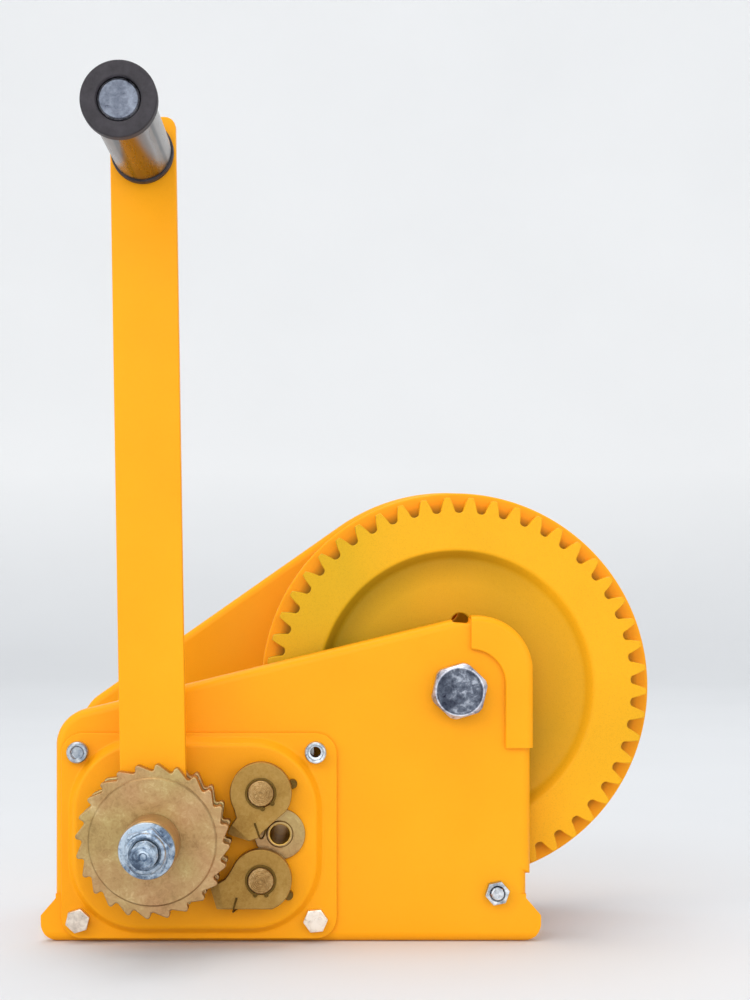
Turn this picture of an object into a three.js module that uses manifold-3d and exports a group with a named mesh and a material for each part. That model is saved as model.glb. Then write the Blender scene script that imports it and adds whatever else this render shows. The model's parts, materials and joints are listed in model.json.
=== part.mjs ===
// Hand-crank brake winch with a two-stage gear train, built as separate pieces.
// Millimetres. +X to the right, +Y away from the crank side, +Z up.
// The origin is the centre of the base's underside.
// Every shaft runs along Y. Turned pieces are drawn as [radius, y] outlines around their own shaft.

import * as THREE from 'three';
import { mergeVertices } from 'three/addons/utils/BufferGeometryUtils.js';
import Module from 'manifold-3d';

const wasm = await Module();
wasm.setup();

// ---------------------------------------------------------------- driving dimensions

const GAP = 0.3; // running gap between pieces
const CHORD_ERROR = 0.2; // how far a flat facet may cut inside a true circle
const SHEET = 4; // thickness of the folded frame
const WALL_FRONT = -55; // outer face of the front wall
const WALL_REAR = 55; // outer face of the rear wall
const FRONT_INSIDE = WALL_FRONT + SHEET;
const REAR_INSIDE = WALL_REAR - SHEET;

const BASE = {
  half: 117.35, wallHalf: 110.35, shoulder: 12.5, top: 20.6,
  corner: 9, bend: 5, planCorner: 16,
};
const SLOT = { x: 80, y: 28, width: 11, length: 26 };
const FAR = 500; // a length beyond the whole winch, for cutting blocks

const GEAR = {
  coarse: 3.5, // module of the drum gear and its pinion
  fine: 3, // module of the crank pinion and its wheel
  drumTeeth: 50,
  idlerPinionTeeth: 11,
  idlerTeeth: 26,
  crankTeeth: 12,
  pressure: THREE.MathUtils.degToRad(20),
  thinning: 0.36, // each tooth is this much thinner than half a pitch
  fineFront: -47,
  fineRear: -38,
  coarseFront: -36,
  coarseRear: -24.3,
};

const IDLER = { x: -5, z: 51.8 };
const CRANK = { x: IDLER.x - (GEAR.fine * (GEAR.idlerTeeth + GEAR.crankTeeth)) / 2, z: IDLER.z };
const TRAIN_ANGLE = THREE.MathUtils.degToRad(38.4); // rise of the line from idler to drum
const TRAIN_CENTRES = (GEAR.coarse * (GEAR.drumTeeth + GEAR.idlerPinionTeeth)) / 2;
const AXLE = {
  x: IDLER.x + TRAIN_CENTRES * Math.cos(TRAIN_ANGLE),
  z: IDLER.z + TRAIN_CENTRES * Math.sin(TRAIN_ANGLE),
};
const DRUM_VALLEY = THREE.MathUtils.degToRad(89); // a gap between two drum gear teeth points here

const FRONT_WALL = {
  slope: THREE.MathUtils.degToRad(13.7), // rise of the top edge to the right
  slopeX: -97.5, // a point on the top edge
  slopeZ: 108.8,
  leftCorner: 17,
  right: 33.7, // the right edge and the flat top lie this far from the axle
  rightCorner: 24.8,
  lip: 13, // depth of the edge that is folded back
  lipLeftEnd: 95, // the fold ends here on the left side
  lipBottom: 32, // and here on the right side
  fold: 4, // rounding of the folded edge
  notchLeft: 75.6,
  notchRight: 84,
  notchFloor: 149.6,
};
const REAR_WALL = {
  radius: 96, // arc around the drum flange
  slope: 35, // fall of the edge to the left, degrees
  leftCorner: 20,
  lip: 10,
  lipLeftEnd: 90,
  lipRightEnd: 40,
  fold: 4,
  endAngle: -50, // degrees
  lowZ: 24,
};

const GUARD = {
  thick: 0.9, // of the skirt that lies on the wall's edge
  innerRight: 21.8, // the strip's inner edge is this far right of the axle
  innerCorner: 16.3,
  innerCornerRise: 3, // height of the inner corner's centre above the axle
  startX: 84.5, bottom: 91.2,
  front: -57.8, skirtRear: -44, round: 1,
};

const BRAKE_PLATE = {
  left: -107.5, right: 21.6, bottom: 2, top: 98.3, corner: 10,
  rear: WALL_FRONT - GAP, front: -57.3,
  panLeft: -103, panRight: 14, panBottom: 5.5, panTop: 95.5, panCorner: 33,
  face: -62, wall: 2, slant: 2.6,
};
const PLATE_FIXINGS = {
  upperLeft: [-99.5, 89.4],
  upperRight: [11.6, 89.4],
  lowerLeft: [-99.5, 10.8],
  lowerRight: [11.6, 10.8],
};
const M6 = { radius: 3, headCorners: 5.77, head: 4, nut: 5 };
const SOCKET_SCREW = { radius: 5, head: 4.6, socketCorners: 2.9, socketDepth: 2.8, chamfer: 0.6 };
const PLATE_SPACER = { radius: 5, bore: 2.2, length: 6 };

const TIE_ROD = { x: 96.55, z: 23.45, half: 62, end: 14, waist: 2.6 };
const AXLE_BOLT = {
  radius: 8, headCorners: 13.86, head: 10, headTurn: 17, rearEnd: 74,
  washer: 15, washerThick: 2.7, nut: 13, spacer: 12,
};

const DRUM = {
  core: 25, bore: 13, spigot: 16, flange: 93.4, flangeThick: 3,
  coreFront: -34,
  coreRear: 44,
  frontFace: -24, // front of the front flange
  rearFace: 41, // rear of the rear flange
  bushFlange: 15, bushFlangeThick: 1.7, bushLength: 20,
  ropeHole: 5.5,
  ropeHoleRadius: 35, // distance of the rope hole from the axle
  webHole: { radius: 4.4, distance: 31.3, angle: THREE.MathUtils.degToRad(85.8) },
};
const DISH = { rim: 65.9, web: 50.6, webFace: -28 };
const ROPE_CLAMP = { radius: 52, width: 34, height: 16, thick: 3, corner: 3, screwGap: 20 };
const SIDES = [-1, 1];

const CRANK_SHAFT = { radius: 8, thread: 6, threadStart: -93.2, tip: -143, rearEnd: 60 };
const CRANK_BUSH = { outer: 11, flange: 14, thick: 1.7 };
const SHAFT_NUT = { corners: 10.97, bore: 6.3, washer: 12.5, spacer: 13 };
const CIRCLIP = { radius: 11, front: 56, rear: 57.3 };
const IDLER_SHAFT = { body: 8, bodyHalf: 50, journal: 6, bore: 4.6, front: -65.5, rear: 58.5, spacer: 11 };
const IDLER_BUSH = { outer: 9, flange: 11.8, face: -64, thick: 1.7 };

const RATCHET = {
  teeth: 24, tip: 36, root: 31.5,
  stepAngle: THREE.MathUtils.degToRad(-1.5), // place of one steep face
  slopeSag: 0.35, // the tooth's long side bows in by this much
  boss: 29.2,
};
const BRAKE_STACK = {
  disc: 24,
  flange: [-64.6, -62.4],
  liningRear: [-66.1, -64.9],
  ratchet: [-73.4, -66.4],
  liningFront: [-74.9, -73.7],
  hub: [-77.7, -75.2],
  arm: [-84, -78],
  lockRatchet: [-92, -84.3],
  lockBoss: -93.5,
  spacer: [-121, -93.8],
  washer: [-123.3, -121.3],
  nut: [-133.1, -123.6],
};

const PAWL = {
  radius: 14.3, front: -73.2, rear: -66.6,
  pin: 6, pinFront: -76, pinChamfer: 0.6, pinHead: 8.5, pinHeadLength: 2,
  clip: 7.8, clipThick: 0.9,
  springInner: 7, springOuter: 9,
};
const UPPER_PAWL = { x: -13.6, z: 71.7 };
const LOWER_PAWL = { x: -13.6, z: 31.6 };

const ARM = { width: 30, top: 381, lean: THREE.MathUtils.degToRad(0.9), corner: 5 };
const GRIP = {
  z: 364.3, pin: 6, pinHead: 8.6, pinHeadLength: 7, rivet: 9, rivetLength: 2.5,
  tube: 13.3, tubeBore: 9.2, front: -200, rear: -84.6,
  outerCollar: 15.7, outerLength: 8, outerBore: 9,
  innerCollar: 14.2, innerLength: 6, innerBore: 7,
};

// ---------------------------------------------------------------- paint and metal

const finish = (color, roughness, metalness) => ({ color, roughness, metalness });
const PAINT = finish(0xffae18, 0.4, 0);
const GEAR_PAINT = finish(0xf2b21c, 0.5, 0);
const ZINC = finish(0xb9c0ca, 0.35, 0.9);
const BRASS_ZINC = finish(0xc0a468, 0.4, 0.85);
const PAWL_ZINC = finish(0xa67c3c, 0.45, 0.85);
const STEEL = finish(0x8f8f8c, 0.4, 0.9);
const POLISHED = finish(0xc8c4bc, 0.15, 1);
const BLACK = finish(0x29272b, 0.7, 0);
const LINING = finish(0x4a4038, 0.9, 0);
const BRONZE = finish(0xa8823f, 0.45, 0.8);

// ---------------------------------------------------------------- solids

function signedVolume(positions, triangles) {
  const a = new THREE.Vector3();
  const b = new THREE.Vector3();
  const c = new THREE.Vector3();
  let volume = 0;
  for (let i = 0; i < triangles.length; i += 3) {
    a.fromArray(positions, 3 * triangles[i]);
    b.fromArray(positions, 3 * triangles[i + 1]);
    c.fromArray(positions, 3 * triangles[i + 2]);
    volume += a.dot(b.cross(c)) / 6;
  }
  return volume;
}

// A solid from a closed three.js geometry, with its faces turned outwards.
function solidFrom(geometry) {
  geometry.deleteAttribute('normal');
  geometry.deleteAttribute('uv');
  const merged = mergeVertices(geometry, 1e-4);
  const index = merged.index.array;
  const positions = merged.attributes.position.array;
  const triangles = [];
  for (let i = 0; i < index.length; i += 3) {
    const [a, b, c] = [index[i], index[i + 1], index[i + 2]];
    if (a !== b && b !== c && c !== a) triangles.push(a, b, c);
  }
  if (signedVolume(positions, triangles) < 0) triangles.reverse();
  const vertProperties = new Float32Array(positions);
  const triVerts = new Uint32Array(triangles);
  return new wasm.Manifold(new wasm.Mesh({ numProp: 3, vertProperties, triVerts }));
}

function geometryFrom(solid) {
  const { vertProperties, triVerts } = solid.getMesh();
  const geometry = new THREE.BufferGeometry();
  geometry.setAttribute('position', new THREE.BufferAttribute(vertProperties, 3));
  geometry.setIndex(new THREE.BufferAttribute(triVerts, 1));
  geometry.computeVertexNormals();
  return geometry;
}

const joined = (solids) => solids.reduce((whole, piece) => whole.add(piece));
const cut = (body, cutters) => cutters.reduce((rest, cutter) => rest.subtract(cutter), body);

const stepAngle = (radius) => 2 * Math.acos(1 - Math.min(0.9, CHORD_ERROR / radius));
const roundSegments = (radius) => Math.max(12, Math.ceil((2 * Math.PI) / stepAngle(radius)));

// Adds an arc to a flat outline as straight steps, or starts the outline with it.
function arc(shape, x, z, radius, start, end) {
  const steps = Math.max(2, Math.ceil(Math.abs(end - start) / stepAngle(radius)));
  for (let i = 0; i <= steps; i += 1) {
    const angle = start + ((end - start) * i) / steps;
    const startsOutline = i === 0 && shape.curves.length === 0;
    shape[startsOutline ? 'moveTo' : 'lineTo'](x + radius * Math.cos(angle), z + radius * Math.sin(angle));
  }
}

// A turned solid around the Y axis. The outline closes on itself unless it starts on the axis.
function turned(outline, segments = roundSegments(Math.max(...outline.map(([radius]) => radius)))) {
  const points = outline.map(([radius, y]) => new THREE.Vector2(radius, y));
  const startsOnAxis = outline[0][0] === 0;
  if (!startsOnAxis) points.push(points[0].clone());
  return solidFrom(new THREE.LatheGeometry(points, segments));
}

const rod = (radius, y0, y1) => turned([[0, y0], [radius, y0], [radius, y1], [0, y1]]);
const tube = (bore, radius, y0, y1) => turned([[bore, y0], [radius, y0], [radius, y1], [bore, y1]]);

// A rod along Y at a place in the XZ plane, used as a cutter.
const drill = (x, z, radius, y0, y1) => rod(radius, y0, y1).translate([x, 0, z]);

// A flat outline in the XZ plane made thick along Y, with an optional rounded front edge.
function slab(shape, y0, y1, round = 0) {
  const geometry = new THREE.ExtrudeGeometry(shape, {
    depth: y1 - y0,
    bevelEnabled: round > 0,
    bevelThickness: round,
    bevelSize: round,
    bevelOffset: -round,
    bevelSegments: 2,
  });
  geometry.rotateX(Math.PI / 2);
  const solid = solidFrom(geometry).translate([0, y1 + round, 0]);
  return round > 0 ? solid.subtract(block(-FAR, FAR, y1, y1 + 3 * round, -FAR, FAR)) : solid;
}

// The same, pulled in by an inset on every side.
function insetSlab(shape, y0, y1, inset) {
  const rim = 0.01;
  const geometry = new THREE.ExtrudeGeometry(shape, {
    depth: y1 - y0 - 2 * rim,
    bevelEnabled: true,
    bevelThickness: rim,
    bevelSize: 0,
    bevelOffset: -inset,
    bevelSegments: 1,
  });
  geometry.rotateX(Math.PI / 2);
  return solidFrom(geometry).translate([0, y1 - rim, 0]);
}

// A flat outline in the XY plane made thick along Z.
function floorSlab(shape, z0, z1) {
  const geometry = new THREE.ExtrudeGeometry(shape, { depth: z1 - z0, bevelEnabled: false });
  return solidFrom(geometry).translate([0, 0, z0]);
}

function block(x0, x1, y0, y1, z0, z1) {
  const geometry = new THREE.BoxGeometry(x1 - x0, y1 - y0, z1 - z0);
  geometry.translate((x0 + x1) / 2, (y0 + y1) / 2, (z0 + z1) / 2);
  return solidFrom(geometry);
}

function roundedRectangle(left, right, bottom, top, corner) {
  const shape = new THREE.Shape();
  shape.moveTo(left + corner, bottom);
  shape.lineTo(right - corner, bottom);
  arc(shape, right - corner, bottom + corner, corner, -Math.PI / 2, 0);
  shape.lineTo(right, top - corner);
  arc(shape, right - corner, top - corner, corner, 0, Math.PI / 2);
  shape.lineTo(left + corner, top);
  arc(shape, left + corner, top - corner, corner, Math.PI / 2, Math.PI);
  shape.lineTo(left, bottom + corner);
  arc(shape, left + corner, bottom + corner, corner, Math.PI, 1.5 * Math.PI);
  return shape;
}

// A hexagon head or nut blank with chamfered ends. Corners are at the given radius.
function hexagon(corners, y0, y1, turn = 0) {
  const chamfer = 0.12 * corners;
  const outline = [[0, y0], [corners - chamfer, y0], [corners, y0 + 0.5 * chamfer]];
  outline.push([corners, y1 - 0.5 * chamfer], [corners - chamfer, y1], [0, y1]);
  return turned(outline, 6).rotate([0, turn, 0]);
}

// ---------------------------------------------------------------- gears

const involute = (angle) => Math.tan(angle) - angle;
const polar = (radius, angle) => new THREE.Vector2(radius * Math.cos(angle), radius * Math.sin(angle));

// Outline of a spur gear with one tooth centred on +X.
function gearOutline(teeth, module, flankSteps) {
  const pitch = (module * teeth) / 2;
  const base = pitch * Math.cos(GEAR.pressure);
  const tip = pitch + module;
  const root = pitch - 1.25 * module;
  const halfAtPitch = Math.PI / (2 * teeth) - GEAR.thinning / (2 * pitch);
  const halfAt = (radius) =>
    halfAtPitch + involute(GEAR.pressure) - involute(Math.acos(Math.min(1, base / radius)));
  const flankFoot = Math.max(root, base);
  const flank = [];
  if (base > root) flank.push([root, 0.7 * halfAt(base)]);
  for (let i = 0; i <= flankSteps; i += 1) {
    const radius = flankFoot + ((tip - flankFoot) * i) / flankSteps;
    flank.push([radius, halfAt(radius)]);
  }
  const points = [];
  for (let tooth = 0; tooth < teeth; tooth += 1) {
    const centre = (2 * Math.PI * tooth) / teeth;
    const rising = flank.map(([radius, half]) => polar(radius, centre - half));
    const falling = flank.map(([radius, half]) => polar(radius, centre + half)).reverse();
    points.push(...rising, ...falling);
  }
  return new THREE.Shape(points);
}

// The angle of a tooth centre on a gear that meshes with another gear.
// The direction points from the other gear to this one.
function meshedPhase(otherPhase, otherTeeth, teeth, direction) {
  const otherPitch = (2 * Math.PI) / otherTeeth;
  const offset = (direction - otherPhase) / otherPitch;
  const fraction = offset - Math.floor(offset);
  return direction + Math.PI - (0.5 - fraction) * ((2 * Math.PI) / teeth);
}

function ratchetOutline() {
  const { teeth, tip, root, slopeSag, stepAngle: firstStep } = RATCHET;
  const pitch = (2 * Math.PI) / teeth;
  const points = [];
  for (let tooth = 0; tooth < teeth; tooth += 1) {
    const step = firstStep + tooth * pitch;
    points.push(polar(tip, step - 0.04 * pitch));
    points.push(polar(root, step + 0.03 * pitch));
    points.push(polar(0.5 * (root + tip) - slopeSag, step + 0.5 * pitch));
  }
  return new THREE.Shape(points);
}

// ---------------------------------------------------------------- frame

const topEdge = (x) => FRONT_WALL.slopeZ + (x - FRONT_WALL.slopeX) * Math.tan(FRONT_WALL.slope);

// The foot of a wall, from its left shoulder round the bottom to its right shoulder.
function startAtFoot(shape) {
  const { half, wallHalf, shoulder, top, corner } = BASE;
  shape.moveTo(-wallHalf, top);
  shape.lineTo(-half, shoulder);
  shape.lineTo(-half, corner);
  arc(shape, -half + corner, corner, corner, Math.PI, 1.5 * Math.PI);
  shape.lineTo(half - corner, 0);
  arc(shape, half - corner, corner, corner, -Math.PI / 2, 0);
  shape.lineTo(half, shoulder);
  shape.lineTo(wallHalf, top);
}

function frontWallOutline() {
  const { slope, leftCorner, right, rightCorner, lipBottom } = FRONT_WALL;
  const shape = new THREE.Shape();
  startAtFoot(shape);
  shape.lineTo(BASE.wallHalf, lipBottom);
  shape.lineTo(AXLE.x + right, lipBottom);
  const inward = right - rightCorner;
  arc(shape, AXLE.x + inward, AXLE.z + inward, rightCorner, 0, Math.PI / 2);
  const flatTop = AXLE.z + right;
  const slopeEnd = FRONT_WALL.slopeX + (flatTop - FRONT_WALL.slopeZ) / Math.tan(slope);
  shape.lineTo(slopeEnd, flatTop);
  const centreX = -BASE.wallHalf + leftCorner;
  const centreZ = topEdge(centreX) - leftCorner / Math.cos(slope);
  arc(shape, centreX, centreZ, leftCorner, Math.PI / 2 + slope, Math.PI);
  return shape;
}

function rearWallOutline() {
  const { radius, slope, leftCorner, endAngle, lowZ } = REAR_WALL;
  const tangent = THREE.MathUtils.degToRad(90 + slope);
  const fall = THREE.MathUtils.degToRad(slope);
  const tangentX = AXLE.x + radius * Math.cos(tangent);
  const tangentZ = AXLE.z + radius * Math.sin(tangent);
  const centreX = -BASE.wallHalf + leftCorner;
  const centreZ = tangentZ - (tangentX - centreX) * Math.tan(fall) - leftCorner / Math.cos(fall);
  const shape = new THREE.Shape();
  startAtFoot(shape);
  shape.lineTo(BASE.wallHalf, lowZ);
  arc(shape, AXLE.x, AXLE.z, radius, THREE.MathUtils.degToRad(endAngle), tangent);
  arc(shape, centreX, centreZ, leftCorner, tangent, Math.PI);
  return shape;
}

// The U-shaped section of the folded sheet, running along X.
function channel(height) {
  const { half, bend } = BASE;
  const inner = bend - SHEET;
  const shape = new THREE.Shape();
  shape.moveTo(WALL_FRONT, height);
  shape.lineTo(WALL_FRONT, bend);
  arc(shape, WALL_FRONT + bend, bend, bend, Math.PI, 1.5 * Math.PI);
  shape.lineTo(WALL_REAR - bend, 0);
  arc(shape, WALL_REAR - bend, bend, bend, -Math.PI / 2, 0);
  shape.lineTo(WALL_REAR, height);
  shape.lineTo(REAR_INSIDE, height);
  shape.lineTo(REAR_INSIDE, bend);
  arc(shape, WALL_REAR - bend, bend, inner, 0, -Math.PI / 2);
  shape.lineTo(WALL_FRONT + bend, SHEET);
  arc(shape, WALL_FRONT + bend, bend, inner, -Math.PI / 2, -Math.PI);
  shape.lineTo(FRONT_INSIDE, height);
  const geometry = new THREE.ExtrudeGeometry(shape, { depth: 2 * half, bevelEnabled: false });
  geometry.translate(0, 0, -half);
  const along = new THREE.Matrix4().makeBasis(
    new THREE.Vector3(0, 1, 0),
    new THREE.Vector3(0, 0, 1),
    new THREE.Vector3(1, 0, 0),
  );
  return solidFrom(geometry.applyMatrix4(along));
}

// The edge of a wall that is folded back: a rounded block with its inside taken out.
function foldedLip(outline, yFace, lip, fold, keep) {
  const outside = slab(outline, yFace, yFace + lip, fold).intersect(keep);
  return outside.subtract(insetSlab(outline, yFace + SHEET / 2, yFace + lip + 1, SHEET));
}

// The folded sheet, in one piece.
function frameSheet() {
  const { half, wallHalf, bend, top, planCorner } = BASE;
  const lap = 2; // overlap of the lengths that are joined into one sheet
  const front = frontWallOutline();
  const rear = rearWallOutline();
  const plan = roundedRectangle(-half, half, WALL_FRONT + bend, WALL_REAR - bend, planCorner);
  const footprint = joined([
    slab(front, WALL_FRONT, WALL_FRONT + bend + lap),
    slab(rear, WALL_REAR - bend - lap, WALL_REAR),
    floorSlab(plan, 0, SHEET),
  ]);
  const walls = joined([
    slab(front, WALL_FRONT, FRONT_INSIDE, FRONT_WALL.fold),
    slab(rear, REAR_INSIDE, WALL_REAR, REAR_WALL.fold),
  ]).intersect(block(-FAR, FAR, -FAR, FAR, top, FAR));
  const frontKeep = joined([
    block(-wallHalf + lap, 0, -FAR, 0, FRONT_WALL.lipLeftEnd, FAR),
    block(-lap, FAR, -FAR, 0, FRONT_WALL.lipBottom, FAR),
  ]);
  const rearKeep = joined([
    block(-wallHalf + lap, 0, 0, FAR, REAR_WALL.lipLeftEnd, FAR),
    block(-lap, FAR, 0, FAR, REAR_WALL.lipRightEnd, FAR),
  ]);
  const sheet = joined([
    channel(top + lap).intersect(footprint),
    walls,
    foldedLip(front, WALL_FRONT, FRONT_WALL.lip, FRONT_WALL.fold, frontKeep),
    foldedLip(rear, REAR_INSIDE, REAR_WALL.lip, REAR_WALL.fold, rearKeep),
  ]);
  const { notchLeft, notchRight, notchFloor } = FRONT_WALL;
  const notch = block(notchLeft, notchRight, -FAR, 0, notchFloor, FAR);
  return cut(sheet, [notch, ...frameHoles()]);
}

// The sheet's floor and its two walls, parted where each bend meets the floor.
function frameParts() {
  const sheet = frameSheet();
  const { bend, top } = BASE;
  const frontSeam = WALL_FRONT + bend;
  const rearSeam = WALL_REAR - bend;
  const inFront = block(-FAR, FAR, -FAR, frontSeam, -FAR, FAR).add(block(-FAR, FAR, -FAR, 0, top, FAR));
  const behind = block(-FAR, FAR, rearSeam, FAR, -FAR, FAR).add(block(-FAR, FAR, 0, FAR, top, FAR));
  const between = block(-FAR, FAR, frontSeam + GAP, rearSeam - GAP, -FAR, top);
  return {
    floor: sheet.intersect(between),
    wallFront: sheet.intersect(inFront),
    wallRear: sheet.intersect(behind),
  };
}

function frameHoles() {
  const throughBoth = [
    [AXLE.x, AXLE.z, AXLE_BOLT.radius],
    [IDLER.x, IDLER.z, IDLER_BUSH.outer],
    [CRANK.x, CRANK.z, CRANK_BUSH.outer],
    [TIE_ROD.x, TIE_ROD.z, M6.radius],
  ];
  const holes = throughBoth.map(([x, z, radius]) => drill(x, z, radius + GAP, -FAR, FAR));
  for (const [x, z] of Object.values(PLATE_FIXINGS)) holes.push(drill(x, z, M6.radius + GAP, -FAR, 0));
  const { width, length } = SLOT;
  const slotEnd = width / 2 - 0.01; // just under a full half circle, so that no side has zero length
  const slotShape = roundedRectangle(-length / 2, length / 2, -width / 2, width / 2, slotEnd);
  for (const x of [-SLOT.x, SLOT.x]) {
    for (const y of [-SLOT.y, SLOT.y]) {
      holes.push(floorSlab(slotShape, -SHEET, 2 * SHEET).translate([x, y, 0]));
    }
  }
  return holes;
}

// The strip that wraps the corner of the front wall beside the axle.
function cornerGuard() {
  const { thick, innerRight, innerCorner, innerCornerRise, startX, bottom, front, skirtRear, round } = GUARD;
  const { right, rightCorner } = FRONT_WALL;
  const corners = {
    outer: [right - rightCorner, right - rightCorner, rightCorner + GAP + thick],
    wall: [right - rightCorner, right - rightCorner, rightCorner + GAP],
    inner: [innerRight - innerCorner, innerCornerRise, innerCorner],
  };
  const strip = (outer, inner, y0, y1, frontRound) => {
    const shape = new THREE.Shape();
    const start = startX - AXLE.x;
    const angle = ([x, , radius]) => Math.min(Math.PI / 2, Math.acos((start - x) / radius));
    const add = ([x, z, radius], from, to) => arc(shape, AXLE.x + x, AXLE.z + z, radius, from, to);
    shape.moveTo(AXLE.x + inner[0] + inner[2], bottom);
    shape.lineTo(AXLE.x + outer[0] + outer[2], bottom);
    add(outer, 0, Math.PI / 2);
    shape.lineTo(startX, AXLE.z + outer[1] + outer[2]);
    if (start < inner[0]) shape.lineTo(startX, AXLE.z + inner[1] + inner[2]);
    add(inner, angle(inner), 0);
    return slab(shape, y0, y1, frontRound);
  };
  const face = strip(corners.outer, corners.inner, front, WALL_FRONT - GAP, round);
  const skirt = strip(corners.outer, corners.wall, front + round, skirtRear, 0);
  return face.add(skirt);
}

function brakePlate() {
  const plate = BRAKE_PLATE;
  const { left, right, bottom, top, corner, panLeft, panRight, panBottom, panTop, panCorner, wall } = plate;
  const sheet = slab(roundedRectangle(left, right, bottom, top, corner), plate.front, plate.rear);
  const pan = roundedRectangle(panLeft, panRight, panBottom, panTop, panCorner);
  const hollow = roundedRectangle(
    panLeft + wall, panRight - wall, panBottom + wall, panTop - wall, panCorner - wall,
  );
  const raised = slab(pan, plate.face, plate.rear, plate.slant);
  const inside = slab(hollow, plate.face + wall, plate.rear + 1, plate.slant);
  const openings = [
    [CRANK.x, CRANK.z, CRANK_SHAFT.radius + 1],
    [IDLER.x, IDLER.z, IDLER_BUSH.outer + GAP],
    [UPPER_PAWL.x, UPPER_PAWL.z, PAWL.pin + GAP],
    [LOWER_PAWL.x, LOWER_PAWL.z, PAWL.pin + GAP],
  ];
  for (const [x, z] of Object.values(PLATE_FIXINGS)) openings.push([x, z, M6.radius + GAP]);
  const holes = openings.map(([x, z, radius]) => drill(x, z, radius, -FAR, 0));
  return cut(sheet.add(raised), [inside, ...holes]);
}

// ---------------------------------------------------------------- fixings

const PLATE_FACE = BRAKE_PLATE.front - GAP;
const PLATE_FIXING_END = FRONT_INSIDE + 1;

// A hexagon head standing on a face in front of it, with a plain shank behind.
function bolt(corners, head, radius, seat, end, turn = 0) {
  return hexagon(corners, seat - head, seat, turn).add(rod(radius, seat - 1, end));
}

// A long stud, thinner between its two threaded ends.
function tieRod() {
  const { half, end, waist } = TIE_ROD;
  const outline = [[0, -half], [M6.radius, -half], [M6.radius, end - half], [waist, end - half]];
  outline.push([waist, half - end], [M6.radius, half - end], [M6.radius, half], [0, half]);
  return turned(outline);
}

function plateScrew() {
  const { radius, head, socketCorners, socketDepth, chamfer } = SOCKET_SCREW;
  const face = PLATE_FACE - head;
  const outline = [[0, face], [radius - chamfer, face], [radius, face + chamfer], [radius, PLATE_FACE]];
  outline.push([M6.radius, PLATE_FACE], [M6.radius, PLATE_FIXING_END], [0, PLATE_FIXING_END]);
  const socket = hexagon(socketCorners, face - 1, face + socketDepth);
  return turned(outline).subtract(socket);
}

function plateSpacer() {
  const { radius, bore, length } = PLATE_SPACER;
  const face = PLATE_FACE - length;
  return turned([
    [bore, face], [radius, face], [radius, PLATE_FACE],
    [M6.radius, PLATE_FACE], [M6.radius, PLATE_FIXING_END], [bore, PLATE_FIXING_END],
  ]);
}

function nut(corners, bore, y0, y1) {
  return hexagon(corners, y0, y1).subtract(rod(bore + GAP, y0 - 1, y1 + 1));
}

function flangedBush(bore, outer, flange, flangeFront, flangeRear, end) {
  const [y0, y1] = [flangeFront, flangeRear];
  return turned([[bore, y0], [flange, y0], [flange, y1], [outer, y1], [outer, end], [bore, end]]);
}

// ---------------------------------------------------------------- drum

function drumCore() {
  const { core, bore, spigot, flangeThick, coreFront, coreRear, frontFace, rearFace } = DRUM;
  const innerFront = frontFace + flangeThick + GAP;
  const innerRear = rearFace - flangeThick - GAP;
  return turned([
    [bore, coreFront], [spigot, coreFront], [spigot, innerFront], [core, innerFront],
    [core, innerRear], [spigot, innerRear], [spigot, coreRear], [bore, coreRear],
  ]);
}

function drumFlange(y0) {
  return tube(DRUM.spigot + GAP, DRUM.flange, y0, y0 + DRUM.flangeThick);
}

// The hole through the gear's web and the front flange behind it.
function webHole(turn) {
  const { radius, distance, angle } = DRUM.webHole;
  const { x, y } = polar(distance, angle - turn);
  return drill(x, y, radius, -FAR, 0);
}

const drumFrontFlange = () => cut(drumFlange(DRUM.frontFace), [webHole(0)]);

// The rear flange has the rope hole and the tapped holes under the rope clamp.
function drumRearFlange() {
  const { radius, screwGap } = ROPE_CLAMP;
  const ropeHole = drill(0, DRUM.ropeHoleRadius, DRUM.ropeHole, 0, FAR);
  const screwHoles = SIDES.map((side) => drill((side * screwGap) / 2, radius, M6.radius + GAP, 0, FAR));
  return cut(drumFlange(DRUM.rearFace - DRUM.flangeThick), [ropeHole, ...screwHoles]);
}

function drumGear() {
  const blank = slab(gearOutline(GEAR.drumTeeth, GEAR.coarse, 1), GEAR.coarseFront, GEAR.coarseRear);
  const { rim, web, webFace } = DISH;
  const slope = (rim - web) / (webFace - GEAR.coarseFront);
  const mouth = GEAR.coarseFront - 1; // the cutter starts a millimetre in front of the rim
  const dish = turned([[0, mouth], [rim + slope, mouth], [web, webFace], [0, webFace]]);
  return cut(blank, [dish, rod(DRUM.spigot + GAP, -FAR, 0), webHole(drumPhase)]);
}

function ropeClamp() {
  const { radius, width, height, thick, corner, screwGap } = ROPE_CLAMP;
  const y0 = DRUM.rearFace + GAP;
  const outline = roundedRectangle(-width / 2, width / 2, radius - height / 2, radius + height / 2, corner);
  const holes = SIDES.map((side) => drill((side * screwGap) / 2, radius, M6.radius + GAP, 0, FAR));
  return cut(slab(outline, y0, y0 + thick), holes);
}

function ropeClampScrew() {
  const seat = DRUM.rearFace + ROPE_CLAMP.thick + 2 * GAP;
  const shank = rod(M6.radius, DRUM.rearFace - DRUM.flangeThick, seat + 1);
  return hexagon(M6.headCorners, seat, seat + M6.head).add(shank);
}

// ---------------------------------------------------------------- idler and crank shafts

function idlerShaft() {
  const { body, bodyHalf, journal, bore, front, rear } = IDLER_SHAFT;
  return turned([
    [bore, front], [journal, front], [journal, -bodyHalf], [body, -bodyHalf],
    [body, bodyHalf], [journal, bodyHalf], [journal, rear], [bore, rear],
  ]);
}

function spurGear(teeth, module, bore, y0, y1, flankSteps) {
  return slab(gearOutline(teeth, module, flankSteps), y0, y1).subtract(rod(bore, y0 - 1, y1 + 1));
}

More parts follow.
